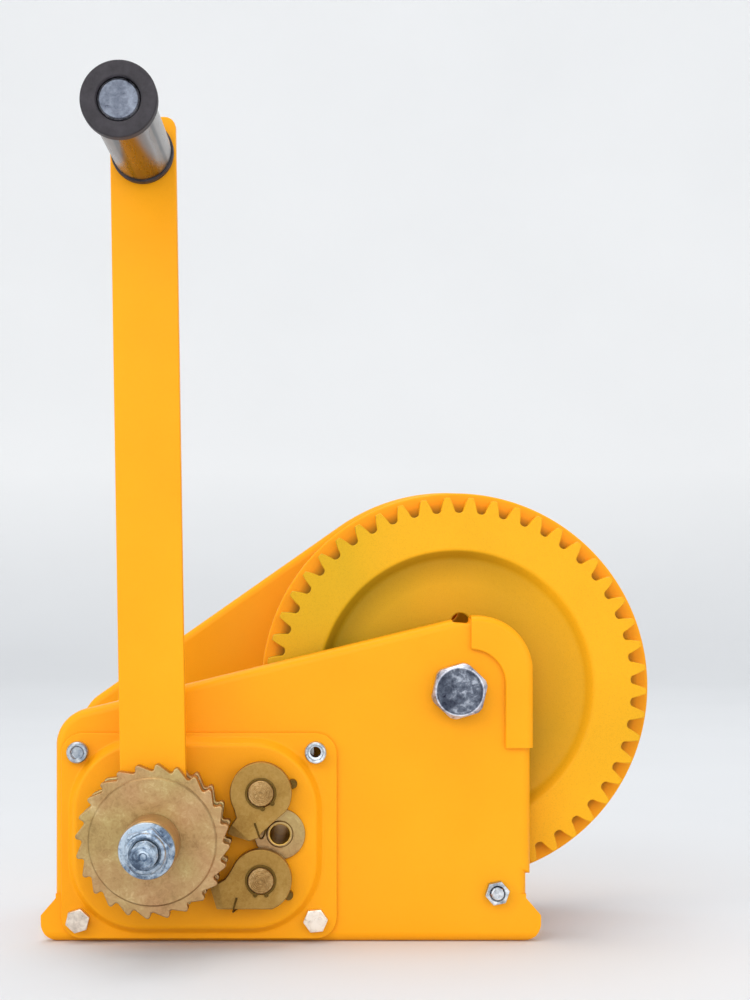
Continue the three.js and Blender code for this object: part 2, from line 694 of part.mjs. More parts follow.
function crankShaft() {
  const { radius, thread, threadStart, tip, rearEnd } = CRANK_SHAFT;
  return turned([
    [0, tip], [thread - 1, tip], [thread, tip + 1], [thread, threadStart], [radius, threadStart],
    [radius, rearEnd - 1], [radius - 1, rearEnd], [0, rearEnd],
  ]);
}

const onShaft = (radius, [y0, y1]) => tube(CRANK_SHAFT.radius + GAP, radius, y0, y1);

function ratchetWheel([y0, y1], boss) {
  const wheel = slab(ratchetOutline(), y0, y1);
  const raised = boss === undefined ? wheel : wheel.add(rod(RATCHET.boss, boss, y0 + 1));
  return raised.subtract(rod(CRANK_SHAFT.radius + GAP, -FAR, 0));
}

function crankArm() {
  const { width, top, lean, corner } = ARM;
  const half = width / 2;
  const length = (top - CRANK.z) / Math.cos(lean);
  const shape = new THREE.Shape();
  shape.moveTo(half, 0);
  shape.lineTo(half, length - corner);
  arc(shape, half - corner, length - corner, corner, 0, Math.PI / 2);
  shape.lineTo(-half + corner, length);
  arc(shape, -half + corner, length - corner, corner, Math.PI / 2, Math.PI);
  shape.lineTo(-half, 0);
  arc(shape, 0, 0, half, Math.PI, 2 * Math.PI);
  const [y0, y1] = BRAKE_STACK.arm;
  const gripReach = (GRIP.z - CRANK.z) / Math.cos(lean);
  const holes = [
    rod(CRANK_SHAFT.radius + GAP, y0 - 1, y1 + 1),
    drill(0, gripReach, GRIP.pin + GAP, y0 - 1, y1 + 1),
  ];
  return cut(slab(shape, y0, y1), holes);
}

// ---------------------------------------------------------------- grip

function gripPin() {
  const { pin, pinHead, pinHeadLength, rivet, rivetLength } = GRIP;
  const chamfer = 0.8;
  const face = GRIP.front + 1;
  const headEnd = face + pinHeadLength;
  const rivetFace = BRAKE_STACK.arm[1] + GAP;
  const rivetEnd = rivetFace + rivetLength;
  return turned([
    [0, face], [pinHead - chamfer, face], [pinHead, face + chamfer], [pinHead, headEnd],
    [pin, headEnd], [pin, rivetFace], [rivet, rivetFace], [rivet - 2, rivetEnd], [0, rivetEnd],
  ]);
}

function gripTube() {
  const { tube: radius, tubeBore, front, rear, outerLength, innerLength } = GRIP;
  return tube(tubeBore, radius, front + outerLength + GAP, rear - innerLength - GAP);
}

function gripCollar(radius, bore, y0, y1) {
  const round = 1.2;
  return turned([
    [bore, y0], [radius - round, y0], [radius, y0 + round],
    [radius, y1 - round], [radius - round, y1], [bore, y1],
  ]);
}

// ---------------------------------------------------------------- pawls

// Pawl outlines are drawn around the pivot. The nose rests in a gap between two ratchet teeth.
function upperPawlOutline() {
  const shape = new THREE.Shape();
  const start = Math.atan2(-8.1, 11.6);
  const end = Math.atan2(-7.1, -12.4) + 2 * Math.PI;
  arc(shape, 0, 0, PAWL.radius, start, end);
  shape.lineTo(-11.3, -11.5);
  shape.lineTo(-13.3, -14.2);
  shape.lineTo(-15.6, -18.7);
  shape.lineTo(-5.3, -22);
  shape.lineTo(-1.4, -20.8);
  shape.lineTo(0.7, -18);
  return shape;
}

function lowerPawlOutline() {
  const shape = new THREE.Shape();
  const start = Math.atan2(-13.3, 5.2);
  const end = Math.atan2(7.9, -11.8);
  arc(shape, 0, 0, PAWL.radius, start, end);
  shape.lineTo(-14.4, 3.4);
  shape.lineTo(-16.6, 0.4);
  shape.lineTo(-19.5, -1.3);
  shape.lineTo(-23.6, -1.9);
  shape.lineTo(-20.3, -13.3);
  return shape;
}

const pawl = (outline) => slab(outline, PAWL.front, PAWL.rear).subtract(rod(PAWL.pin + GAP, -FAR, 0));

// The pin's head is behind the brake plate.
function pawlPin() {
  const { pin, pinFront, pinChamfer, pinHead, pinHeadLength } = PAWL;
  const headFront = BRAKE_PLATE.face + BRAKE_PLATE.wall + GAP;
  const headRear = headFront + pinHeadLength;
  return turned([
    [0, pinFront], [pin - pinChamfer, pinFront], [pin, pinFront + pinChamfer],
    [pin, headFront], [pinHead, headFront], [pinHead, headRear], [0, headRear],
  ]);
}

// ---------------------------------------------------------------- assembly

const winch = new THREE.Group();
winch.name = 'hand_brake_winch';

function shaftGroup(place) {
  const group = new THREE.Group();
  group.position.set(place.x, 0, place.z);
  winch.add(group);
  return group;
}

function put(parent, name, solid, look, turn = 0, place = [0, 0]) {
  const mesh = new THREE.Mesh(geometryFrom(solid), new THREE.MeshStandardMaterial(look));
  mesh.name = name;
  mesh.position.set(place[0], 0, place[1]);
  mesh.rotation.y = -turn; // angles are counter-clockwise seen from the crank side
  parent.add(mesh);
}

const drumPhase = DRUM_VALLEY + Math.PI / GEAR.drumTeeth;
const pinionPhase = meshedPhase(drumPhase, GEAR.drumTeeth, GEAR.idlerPinionTeeth, TRAIN_ANGLE + Math.PI);
const idlerPhase = 0;
const crankPhase = meshedPhase(idlerPhase, GEAR.idlerTeeth, GEAR.crankTeeth, Math.PI);

function addFrame() {
  const { upperLeft, upperRight, lowerLeft, lowerRight } = PLATE_FIXINGS;
  const plateBolt = bolt(M6.headCorners, M6.head, M6.radius, PLATE_FACE, PLATE_FIXING_END);
  const { floor, wallFront, wallRear } = frameParts();
  put(winch, 'frame_floor', floor, PAINT);
  put(winch, 'frame_wall_front', wallFront, PAINT);
  put(winch, 'frame_wall_rear', wallRear, PAINT);
  put(winch, 'corner_guard', cornerGuard(), PAINT);
  put(winch, 'brake_plate', brakePlate(), PAINT);
  put(winch, 'plate_screw_upper_left', plateScrew(), ZINC, 0, upperLeft);
  put(winch, 'plate_spacer_upper_right', plateSpacer(), ZINC, 0, upperRight);
  put(winch, 'plate_bolt_lower_left', plateBolt, ZINC, 0.3, lowerLeft);
  put(winch, 'plate_bolt_lower_right', plateBolt, ZINC, 0.1, lowerRight);

  const place = [TIE_ROD.x, TIE_ROD.z];
  const frontNut = nut(M6.headCorners, M6.radius, WALL_FRONT - GAP - M6.nut, WALL_FRONT - GAP);
  const rearNut = nut(M6.headCorners, M6.radius, WALL_REAR + GAP, WALL_REAR + GAP + M6.nut);
  put(winch, 'tie_rod', tieRod(), ZINC, 0, place);
  put(winch, 'tie_rod_nut_front', frontNut, ZINC, 0.2, place);
  put(winch, 'tie_rod_nut_rear', rearNut, ZINC, 0.5, place);
}

function addDrum() {
  const axle = shaftGroup(AXLE);
  const { radius, headCorners, head, headTurn, rearEnd, washer, washerThick, spacer } = AXLE_BOLT;
  const { bore, bushFlange, bushFlangeThick, bushLength, coreFront, coreRear } = DRUM;
  const clear = radius + GAP;
  const bushFront = coreFront - GAP - bushFlangeThick;
  const bushRear = coreRear + GAP + bushFlangeThick;
  const washerRear = WALL_REAR + GAP + washerThick;
  const axleNut = nut(headCorners, radius, washerRear + GAP, washerRear + GAP + AXLE_BOLT.nut);
  put(axle, 'axle_bolt', bolt(headCorners, head, radius, WALL_FRONT - GAP, rearEnd, headTurn), ZINC);
  put(axle, 'axle_spacer_front', tube(clear, spacer, FRONT_INSIDE + GAP, bushFront - GAP), STEEL);
  put(axle, 'axle_spacer_rear', tube(clear, spacer, bushRear + GAP, REAR_INSIDE - GAP), STEEL);
  put(axle, 'axle_washer_rear', tube(clear, washer, WALL_REAR + GAP, washerRear), ZINC);
  put(axle, 'axle_nut', axleNut, ZINC, 0.2);

  const bush = (face, flangeEnd, end) => flangedBush(clear, bore - GAP, bushFlange, face, flangeEnd, end);
  put(axle, 'drum_core', drumCore(), PAINT);
  put(axle, 'drum_flange_front', drumFrontFlange(), PAINT);
  put(axle, 'drum_flange_rear', drumRearFlange(), PAINT);
  put(axle, 'drum_gear', drumGear(), GEAR_PAINT, drumPhase);
  put(axle, 'drum_bush_front', bush(bushFront, coreFront - GAP, coreFront + bushLength), BRONZE);
  put(axle, 'drum_bush_rear', bush(bushRear, coreRear + GAP, coreRear - bushLength), BRONZE);
  put(axle, 'rope_clamp', ropeClamp(), ZINC);
  for (const side of SIDES) {
    const label = side < 0 ? 'left' : 'right';
    const place = [(side * ROPE_CLAMP.screwGap) / 2, ROPE_CLAMP.radius];
    put(axle, `rope_clamp_screw_${label}`, ropeClampScrew(), ZINC, 0.2 * side, place);
  }
}

function addIdler() {
  const idler = shaftGroup(IDLER);
  const { fine, fineFront, fineRear, coarse, coarseRear } = GEAR;
  const bore = IDLER_SHAFT.body + GAP;
  const gear = spurGear(GEAR.idlerTeeth, fine, bore, fineFront, fineRear, 1);
  const pinion = spurGear(GEAR.idlerPinionTeeth, coarse, bore, fineRear + GAP, coarseRear, 2);
  const spacerEnd = IDLER_SHAFT.bodyHalf - GAP;
  put(idler, 'idler_shaft', idlerShaft(), STEEL);
  put(idler, 'idler_gear', gear, STEEL, idlerPhase);
  put(idler, 'idler_pinion', pinion, STEEL, pinionPhase);
  put(idler, 'idler_spacer', tube(bore, IDLER_SHAFT.spacer, coarseRear + GAP, spacerEnd), STEEL);

  const journal = IDLER_SHAFT.journal + GAP;
  const end = IDLER_SHAFT.bodyHalf + GAP;
  const { outer, flange, face, thick } = IDLER_BUSH;
  const rearFace = WALL_REAR + GAP + thick;
  const frontBush = flangedBush(journal, outer, flange, face, face + thick, -end);
  const rearBush = flangedBush(journal, outer, flange, rearFace, WALL_REAR + GAP, end);
  put(idler, 'idler_bush_front', frontBush, ZINC);
  put(idler, 'idler_bush_rear', rearBush, ZINC);
}

function addCrankShaft(crank) {
  const { fine, fineFront, fineRear } = GEAR;
  const clear = CRANK_SHAFT.radius + GAP;
  const { outer, flange, thick } = CRANK_BUSH;
  const pinion = spurGear(GEAR.crankTeeth, fine, clear, fineFront, fineRear, 2);
  const bush = (face, flangeEnd, end) => flangedBush(clear, outer, flange, face, flangeEnd, end);
  const frontSeat = WALL_FRONT - GAP;
  const rearSeat = REAR_INSIDE - GAP;
  put(crank, 'crank_shaft', crankShaft(), ZINC);
  put(crank, 'crank_pinion', pinion, STEEL, crankPhase);
  put(crank, 'crank_bush_front', bush(frontSeat - thick, frontSeat, FRONT_INSIDE + 1), BRONZE);
  put(crank, 'crank_bush_rear', bush(rearSeat - thick, rearSeat, WALL_REAR), BRONZE);
  put(crank, 'crank_circlip', tube(clear, CIRCLIP.radius, CIRCLIP.front, CIRCLIP.rear), ZINC);
}

function addBrakeStack(crank) {
  const stack = BRAKE_STACK;
  put(crank, 'brake_flange', onShaft(stack.disc, stack.flange), STEEL);
  put(crank, 'friction_disc_rear', onShaft(stack.disc, stack.liningRear), LINING);
  put(crank, 'brake_ratchet', ratchetWheel(stack.ratchet), BRASS_ZINC);
  put(crank, 'friction_disc_front', onShaft(stack.disc, stack.liningFront), LINING);
  put(crank, 'crank_hub', onShaft(stack.disc, stack.hub), STEEL);
  put(crank, 'crank_arm', crankArm(), PAINT, ARM.lean);
  put(crank, 'lock_ratchet', ratchetWheel(stack.lockRatchet, stack.lockBoss), BRASS_ZINC);
  put(crank, 'nut_spacer', tube(SHAFT_NUT.bore, SHAFT_NUT.spacer, ...stack.spacer), BRASS_ZINC);
  put(crank, 'shaft_washer', tube(SHAFT_NUT.bore, SHAFT_NUT.washer, ...stack.washer), ZINC);
  put(crank, 'shaft_nut', nut(SHAFT_NUT.corners, CRANK_SHAFT.thread, ...stack.nut), ZINC, 0.25);
}

function addGrip(crank) {
  const grip = new THREE.Group();
  const height = GRIP.z - CRANK.z;
  grip.position.set(-height * Math.tan(ARM.lean), 0, height);
  crank.add(grip);
  const { front, rear, outerCollar, outerBore, outerLength, innerCollar, innerBore, innerLength } = GRIP;
  put(grip, 'grip_pin', gripPin(), ZINC);
  put(grip, 'grip_tube', gripTube(), POLISHED);
  put(grip, 'grip_collar_outer', gripCollar(outerCollar, outerBore, front, front + outerLength), BLACK);
  put(grip, 'grip_collar_inner', gripCollar(innerCollar, innerBore, rear - innerLength, rear), BLACK);
}

function addPawl(label, pivot, outline) {
  const pawlGroup = shaftGroup(pivot);
  const { front, rear, pin, clip, clipThick, springInner, springOuter } = PAWL;
  const clipRing = tube(pin + GAP, clip, front - GAP - clipThick, front - GAP);
  const spring = tube(springInner, springOuter, rear + GAP, BRAKE_PLATE.face - GAP);
  put(pawlGroup, `pawl_${label}`, pawl(outline), PAWL_ZINC);
  put(pawlGroup, `pawl_pin_${label}`, pawlPin(), BRASS_ZINC);
  put(pawlGroup, `pawl_clip_${label}`, clipRing, STEEL);
  put(pawlGroup, `pawl_spring_${label}`, spring, STEEL);
}

const crankGroup = shaftGroup(CRANK);
addFrame();
addDrum();
addIdler();
addCrankShaft(crankGroup);
addBrakeStack(crankGroup);
addGrip(crankGroup);
addPawl('upper', UPPER_PAWL, upperPawlOutline());
addPawl('lower', LOWER_PAWL, lowerPawlOutline());

export default winch;
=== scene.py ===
import json
import math

import bmesh
import bpy
import numpy as np
from mathutils import Matrix, Vector


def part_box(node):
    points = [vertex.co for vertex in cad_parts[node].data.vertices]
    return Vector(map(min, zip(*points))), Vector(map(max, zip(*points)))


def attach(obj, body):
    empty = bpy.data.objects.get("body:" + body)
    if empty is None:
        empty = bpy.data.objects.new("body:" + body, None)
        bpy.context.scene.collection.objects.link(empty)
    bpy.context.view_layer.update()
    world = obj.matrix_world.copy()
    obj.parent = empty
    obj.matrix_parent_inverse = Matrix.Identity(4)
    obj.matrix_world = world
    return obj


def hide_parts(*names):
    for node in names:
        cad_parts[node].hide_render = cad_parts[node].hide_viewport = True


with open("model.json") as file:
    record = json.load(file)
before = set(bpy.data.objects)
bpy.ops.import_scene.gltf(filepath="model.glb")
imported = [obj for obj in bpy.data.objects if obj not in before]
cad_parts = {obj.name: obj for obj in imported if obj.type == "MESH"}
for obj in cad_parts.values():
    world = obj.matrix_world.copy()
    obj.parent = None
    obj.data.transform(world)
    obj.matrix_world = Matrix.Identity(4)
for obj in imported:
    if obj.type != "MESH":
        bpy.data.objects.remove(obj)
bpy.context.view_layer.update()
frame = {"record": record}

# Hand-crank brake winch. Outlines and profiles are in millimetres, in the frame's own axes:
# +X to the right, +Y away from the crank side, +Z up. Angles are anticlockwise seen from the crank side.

MM = 0.001
CHORD_ERROR = 0.012  # how far a straight step may cut inside a true arc
SOFT = 0.3  # usual rounding of a machined edge
SHARP = 38  # degrees at which an edge is drawn sharp
FAR = 500  # a length beyond the whole winch, for cutting blocks
M6 = {"radius": 3, "corners": 5.77, "hole": 3.3}
M16 = {"radius": 8, "corners": 13.86, "hole": 8.3}
SHAFT_HOLE = 8.3  # in what sits on the 8 mm radius of a shaft
PIN_HOLE = 6.3  # in what sits on a 6 mm pin or thread

BODY_OF = {node: body for body, nodes in frame["record"]["behaviour"]["bodies"].items() for node in nodes}
SLOT_OF = {part["node"]: part["material_slot"] for part in frame["record"]["subparts"]}


def extent(node):
    """The left, right, front, rear, bottom and top of a CAD node."""
    low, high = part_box(node)
    return tuple(value / MM for value in (low.x, high.x, low.y, high.y, low.z, high.z))


def centre(node):
    """The X and Z of the middle of a CAD node."""
    left, right, _, _, bottom, top = extent(node)
    return (left + right) / 2, (bottom + top) / 2


def depth(node):
    """The front and rear Y of a CAD node."""
    return extent(node)[2:4]


AXLE = centre("axle_washer_rear")
IDLER = centre("idler_spacer")
CRANK = centre("crank_hub")
PAWL = {label: centre(f"pawl_clip_{label}") for label in ("upper", "lower")}
GRIP = centre("grip_tube")
TIE_ROD = centre("tie_rod")

SHEET = 4
WALL_FRONT = depth("frame_wall_front")[0]
WALL_REAR = -WALL_FRONT
REAR_INSIDE = WALL_REAR - SHEET
FRONT_INSIDE = WALL_FRONT + SHEET
PLATE_FIXINGS = (
    "plate_screw_upper_left", "plate_spacer_upper_right", "plate_bolt_lower_left", "plate_bolt_lower_right",
)


# ---------------- camera and light


def add_camera():
    data = bpy.data.cameras.new("camera")
    data.sensor_width = 36
    data.lens = 76.76
    data.shift_x = 0.05
    data.shift_y = 0.06
    camera = bpy.data.objects.new("camera", data)
    camera.location = (0.016, -1.055, 0.1792)
    camera.rotation_euler = (math.radians(90), 0, 0)
    bpy.context.scene.collection.objects.link(camera)
    bpy.context.scene.camera = camera


def add_softbox(name, location, target, width, height, power):
    data = bpy.data.lights.new(name, "AREA")
    data.shape = "RECTANGLE"
    data.size = width
    data.size_y = height
    data.energy = power
    light = bpy.data.objects.new(name, data)
    light.location = location
    aim = Vector(target) - Vector(location)
    light.rotation_euler = aim.to_track_quat("-Z", "Y").to_euler()
    bpy.context.scene.collection.objects.link(light)


def add_lights():
    middle = (0.02, 0, 0.15)
    add_softbox("key_light", (-0.7, -1.8, 1.35), middle, 1.4, 1.0, 9)
    add_softbox("fill_light", (1.5, -1.7, 0.7), middle, 1.4, 1.2, 5)
    add_softbox("front_light", (0.25, -2.3, 0.75), middle, 1.8, 1.4, 10)
    add_softbox("left_light", (-1.5, -1.1, 0.7), (-0.05, 0.05, 0.12), 1.0, 1.0, 6)
    add_softbox("backdrop_light", (0, 1.4, 2.6), (0, 3.4, 0.6), 2.2, 0.8, 11)
    add_softbox("top_light", (-0.1, 0.1, 1.9), middle, 1.6, 1.2, 13)
    add_softbox("rear_light", (0.7, 1.9, 1.7), middle, 1.6, 1.2, 5)
    world = bpy.data.worlds.new("studio")
    world.use_nodes = True
    background = world.node_tree.nodes["Background"]
    background.inputs["Color"].default_value = (0.97, 0.985, 1.0, 1)
    background.inputs["Strength"].default_value = 0.63
    bpy.context.scene.world = world
    bpy.context.scene.view_settings.view_transform = "Standard"


# ---------------- outlines


def step_angle(radius):
    return 2 * math.acos(1 - min(0.5, CHORD_ERROR / radius))


def polar(at, radius, angle):
    return (at[0] + radius * math.cos(angle), at[1] + radius * math.sin(angle))


def arc(at, radius, start, end):
    """Points of an arc around a place, both ends included. Angles are in degrees."""
    start, end = math.radians(start), math.radians(end)
    steps = max(3, math.ceil(abs(end - start) / step_angle(radius)))
    return [polar(at, radius, start + (end - start) * i / steps) for i in range(steps + 1)]


def circle(at, radius):
    return arc(at, radius, 0, 360)[:-1]


def inset(outline, distance):
    """A closed outline, anticlockwise, pulled in by a distance."""
    points = np.array(outline, float)
    along = np.roll(points, -1, axis=0) - points
    along /= np.linalg.norm(along, axis=1)[:, None]
    after = np.column_stack([-along[:, 1], along[:, 0]])
    before = np.roll(after, 1, axis=0)
    mitre = (before + after) / (1 + (before * after).sum(axis=1))[:, None]
    return [tuple(point) for point in points + distance * mitre]


def softened(points, convex, concave=None, closed=True, steps=3):
    """An outline with each sharp corner turned into a small arc. Left turns are the convex ones."""
    concave = convex if concave is None else concave
    count = len(points)
    result = []
    for i, point in enumerate(points):
        if not closed and i in (0, count - 1):
            result.append(point)
            continue
        here = np.array(point, float)
        back = here - np.array(points[i - 1], float)
        ahead = np.array(points[(i + 1) % count], float) - here
        back_length, ahead_length = np.linalg.norm(back), np.linalg.norm(ahead)
        back, ahead = back / back_length, ahead / ahead_length
        turn = math.atan2(back[0] * ahead[1] - back[1] * ahead[0], back @ ahead)
        radius = convex if turn > 0 else concave
        if abs(turn) < math.radians(18) or radius == 0:
            result.append(point)
            continue
        reach = min(radius * math.tan(abs(turn) / 2), 0.45 * back_length, 0.45 * ahead_length)
        radius = reach / math.tan(abs(turn) / 2)
        start = here - back * reach
        middle = start + radius * math.copysign(1, turn) * np.array([-back[1], back[0]])
        arm = start - middle
        for step in range(steps + 1):
            cos, sin = math.cos(turn * step / steps), math.sin(turn * step / steps)
            swung = (cos * arm[0] - sin * arm[1], sin * arm[0] + cos * arm[1])
            result.append((middle[0] + swung[0], middle[1] + swung[1]))
    return result


def rounded_rectangle(left, right, bottom, top, corner):
    points = arc((right - corner, bottom + corner), corner, -90, 0)
    points += arc((right - corner, top - corner), corner, 0, 90)
    points += arc((left + corner, top - corner), corner, 90, 180)
    return points + arc((left + corner, bottom + corner), corner, 180, 270)


# ---------------- solids


def solid(verts, faces):
    """A mesh in millimetres with its faces turned outwards."""
    mesh = bpy.data.meshes.new("solid")
    mesh.from_pydata([tuple(v) for v in verts], [], faces)
    tidy = bmesh.new()
    tidy.from_mesh(mesh)
    bmesh.ops.remove_doubles(tidy, verts=tidy.verts, dist=1e-5)
    bmesh.ops.recalc_face_normals(tidy, faces=tidy.faces)
    tidy.to_mesh(mesh)
    tidy.free()
    return mesh


def loft(rings, closed=False):
    """Joins rings of equally many points. The end rings are capped unless the rings close on themselves."""
    count = len(rings[0])
    verts = [point for ring in rings for point in ring]
    faces = []
    for r in range(len(rings) if closed else len(rings) - 1):
        here, there = r * count, (r + 1) % len(rings) * count
        for i in range(count):
            j = (i + 1) % count
            faces.append((here + i, here + j, there + j, there + i))
    if not closed:
        faces.append(tuple(reversed(range(count))))
        faces.append(tuple(range((len(rings) - 1) * count, len(rings) * count)))
    return solid(verts, faces)


def at_depth(outline, y):
    return [(x, y, z) for x, z in outline]


def slab(outline, front, rear, front_round=0.0, rear_round=0.0, steps=3, corners=None):
    """A flat outline made thick along Y, with rounded front and rear edges.

    With corners, the outline is a sharp one, and each corner is softened to the convex and concave radius.
    """
    rings = []

    def add_ring(distance, y):
        pulled = inset(outline, distance) if distance else outline
        rings.append(at_depth(softened(pulled, *corners) if corners else pulled, y))

    angles = [math.pi / 2 * i / steps for i in range(steps + 1)]
    for angle in angles[:-1] if front_round else []:
        add_ring(front_round * (1 - math.sin(angle)), front + front_round * (1 - math.cos(angle)))
    add_ring(0, front + front_round)
    add_ring(0, rear - rear_round)
    for angle in angles[1:] if rear_round else []:
        add_ring(rear_round * (1 - math.cos(angle)), rear - rear_round * (1 - math.sin(angle)))
    return loft(rings)


def block(x0, x1, y0, y1, z0, z1):
    return slab([(x0, z0), (x1, z0), (x1, z1), (x0, z1)], y0, y1)


def turned(profile, at, soft=SOFT, hollow=False):
    """Turns [radius, y] points round a shaft, into a body that reaches its axis or a hollow ring."""
    profile = softened(profile, soft, closed=hollow)
    widest = max(radius for radius, _ in profile)
    sides = max(24, math.ceil(2 * math.pi / step_angle(widest)))
    angles = [2 * math.pi * i / sides for i in range(sides)]
    rings = [at_depth([polar(at, radius, angle) for angle in angles], y) for radius, y in profile]
    return loft(rings, closed=hollow)


def rod(at, radius, front, rear, soft=SOFT):
    flat = radius - soft
    profile = [(flat, front), (radius, front + soft), (radius, rear - soft), (flat, rear)]
    return turned(profile, at, soft / 2)


def tube(at, hole, radius, front, rear, soft):
    return turned([(hole, front), (radius, front), (radius, rear), (hole, rear)], at, soft, hollow=True)


def bore(at, radius, front, rear, flare=0.35):
    """A cutter for a round hole that breaks the hole's two edges."""
    wide = radius + flare
    profile = [(wide, front - 3), (wide, front), (radius, front + flare)]
    profile += [(radius, rear - flare), (wide, rear), (wide, rear + 3)]
    return turned(profile, at, soft=0)


def gathered(meshes):
    """Several meshes as one."""
    whole = bmesh.new()
    for mesh in meshes:
        whole.from_mesh(mesh)
    result = bpy.data.meshes.new("solid")
    whole.to_mesh(result)
    whole.free()
    return result


def combined(operation, body, *tools):
    """A body with other solids cut from it, joined to it, or crossed with it."""
    mesh = gathered(tools) if len(tools) > 1 else tools[0]
    held = [bpy.data.objects.new("held", item) for item in (body, mesh)]
    for item in held:
        bpy.context.scene.collection.objects.link(item)
    modifier = held[0].modifiers.new("combine", "BOOLEAN")
    modifier.operation = operation
    modifier.solver = "EXACT"
    modifier.object = held[1]
    view = bpy.context.evaluated_depsgraph_get()
    view.update()
    result = bpy.data.meshes.new_from_object(held[0].evaluated_get(view))
    for item in held:
        bpy.data.objects.remove(item)
    return result


def cut(body, *tools):
    return combined("DIFFERENCE", body, *tools)


def joined(body, *tools):
    for tool in tools:
        body = combined("UNION", body, tool)
    return body


def crossed(body, tool):
    return combined("INTERSECT", body, tool)


def hexagon(at, corners, front, rear, turn, front_chamfer=0.13, rear_chamfer=0.13):
    """A hexagon head or nut blank. Turned cones take its corners off in curves, as on a real one."""
    outline = [polar(at, corners, math.radians(60 * i) + turn) for i in range(6)]
    prism = slab(softened(outline, 0.05 * corners), front - 1, rear + 1)
    rim = 0.95 * 0.866 * corners
    wide = corners + 2
    fall = 2 * (wide - rim)
    profile = [(wide, front + front_chamfer * fall), (wide, rear - rear_chamfer * fall)]
    if front_chamfer:
        profile.insert(0, (rim, front))
    if rear_chamfer:
        profile.append((rim, rear))
    return crossed(prism, turned(profile, at, soft=0.15))


def threaded(at, radius, front, rear, pitch, sides=48):
    """A threaded length: its radius follows the thread round and along, and fades out at both ends."""
    thread_depth, steps_per_turn, run_in, rear_rest = 0.54 * pitch, 8, 0.8, 0.3
    count = math.ceil((rear - front) / pitch * steps_per_turn)
    rings = []
    for step in range(count + 1):
        y = front + (rear - front) * step / count
        fade = min(1, (y - front) / run_in, (rear - y) / run_in + rear_rest)
        ring = []
        for i in range(sides):
            phase = (y / pitch + i / sides) % 1
            groove = thread_depth * min(1, 2.4 * min(phase, 1 - phase))
            base = radius - groove - (1 - fade) * 0.5 * thread_depth
            ring.append(polar(at, base, 2 * math.pi * i / sides))
        rings.append(at_depth(ring, y))
    return loft(rings)


def swept(path, radius):
    """A round wire along a path of 3-D points, with closed ends."""
    points = np.array(path, float)
    tangents = np.gradient(points, axis=0)
    tangents /= np.linalg.norm(tangents, axis=1)[:, None]
    across = np.cross(tangents[0], (0.3, 1, 0.2))
    angles = [2 * math.pi * i / 10 for i in range(10)]
    rings = []
    for point, tangent in zip(points, tangents):
        across = across - tangent * (across @ tangent)
        across /= np.linalg.norm(across)
        over = np.cross(tangent, across)
        rings.append([point + radius * (math.cos(a) * across + math.sin(a) * over) for a in angles])
    return loft(rings)


# ---------------- materials

WHITE = (1, 1, 1)


class Surface:
    """A Principled material. Its textures lie in the object's own coordinates, in metres."""

    def __init__(self, name):
        self.material = bpy.data.materials.new(name)
        self.material.use_nodes = True
        self.tree = self.material.node_tree
        self.place = self.node("TexCoord", {}, "Object")

    def feed(self, node, inputs):
        """Sets a node's inputs. Each is a value, or another node's output to link."""
        for name, value in inputs.items():
            if isinstance(value, bpy.types.NodeSocket):
                self.tree.links.new(value, node.inputs[name])
            else:
                node.inputs[name].default_value = value

    def node(self, kind, inputs, output, **settings):
        """Adds a node and gives one of its outputs."""
        node = self.tree.nodes.new(f"ShaderNode{kind}")
        for name, value in settings.items():
            setattr(node, name, value)
        self.feed(node, inputs)
        return node.outputs[output]

    def shaded(self, inputs):
        """The material, with its shader's inputs set."""
        self.feed(self.tree.nodes["Principled BSDF"], inputs)
        return self.material

    def noise(self, scale, detail=3.0, roughness=0.5, distortion=0.0, place=None):
        return self.node("TexNoise", {
            "Vector": self.place if place is None else place, "Scale": scale,
            "Detail": detail, "Roughness": roughness, "Distortion": distortion,
        }, "Fac")

    def ramp(self, value, stops):
        node = self.tree.nodes.new("ShaderNodeValToRGB")
        elements = node.color_ramp.elements
        while len(elements) < len(stops):
            elements.new(0.5)
        for element, (position, colour) in zip(elements, stops):
            element.position = position
            element.color = (*colour, 1)
        self.feed(node, {"Fac": value})
        return node.outputs["Color"]

    def mapped(self, value, low, high, to_low=0.0, to_high=1.0):
        return self.node("MapRange", {
            "Value": value, "From Min": low, "From Max": high, "To Min": to_low, "To Max": to_high,
        }, "Result")

    def mixed(self, first, second, share, kind="MIX"):
        return self.node("Mix", {0: share, 6: first, 7: second}, 2, data_type="RGBA", blend_type=kind)

    def tinted(self, colour, share, tint):
        """A colour multiplied by a tint, as far as the share says."""
        return self.mixed(colour, self.ramp(share, [(0.0, WHITE), (1.0, tint)]), 1.0, "MULTIPLY")

    def calculated(self, operation, first, second):
        return self.node("Math", {0: first, 1: second}, "Value", operation=operation)

    def product(self, first, *others):
        for other in others:
            first = self.calculated("MULTIPLY", first, other)
        return first

    def bumped(self, height, distance, **below):
        return self.node("Bump", {"Height": height, "Distance": distance, **below}, "Normal")

    def stretched(self, scale):
        return self.node("Mapping", {"Vector": self.place, "Scale": scale}, "Vector")

    def axis(self, name, place=None):
        return self.node("SeparateXYZ", {"Vector": self.place if place is None else place}, name)

    def stretch_of_y(self, starts, full, fades, gone):
        """1 over a stretch of Y, with soft ends."""
        y = self.axis("Y")
        return self.product(self.mapped(y, starts, full), self.mapped(y, fades, gone, 1.0, 0.0))

    def round_mask(self, at, near, far):
        """1 closer to the line along Y at a point than near, 0 beyond far, both in metres."""
        points = {0: self.stretched((1, 0, 1)), 1: (at[0] * MM, 0, at[1] * MM)}
        across = self.node("VectorMath", points, "Value", operation="DISTANCE")
        return self.mapped(across, near, far, 1.0, 0.0)


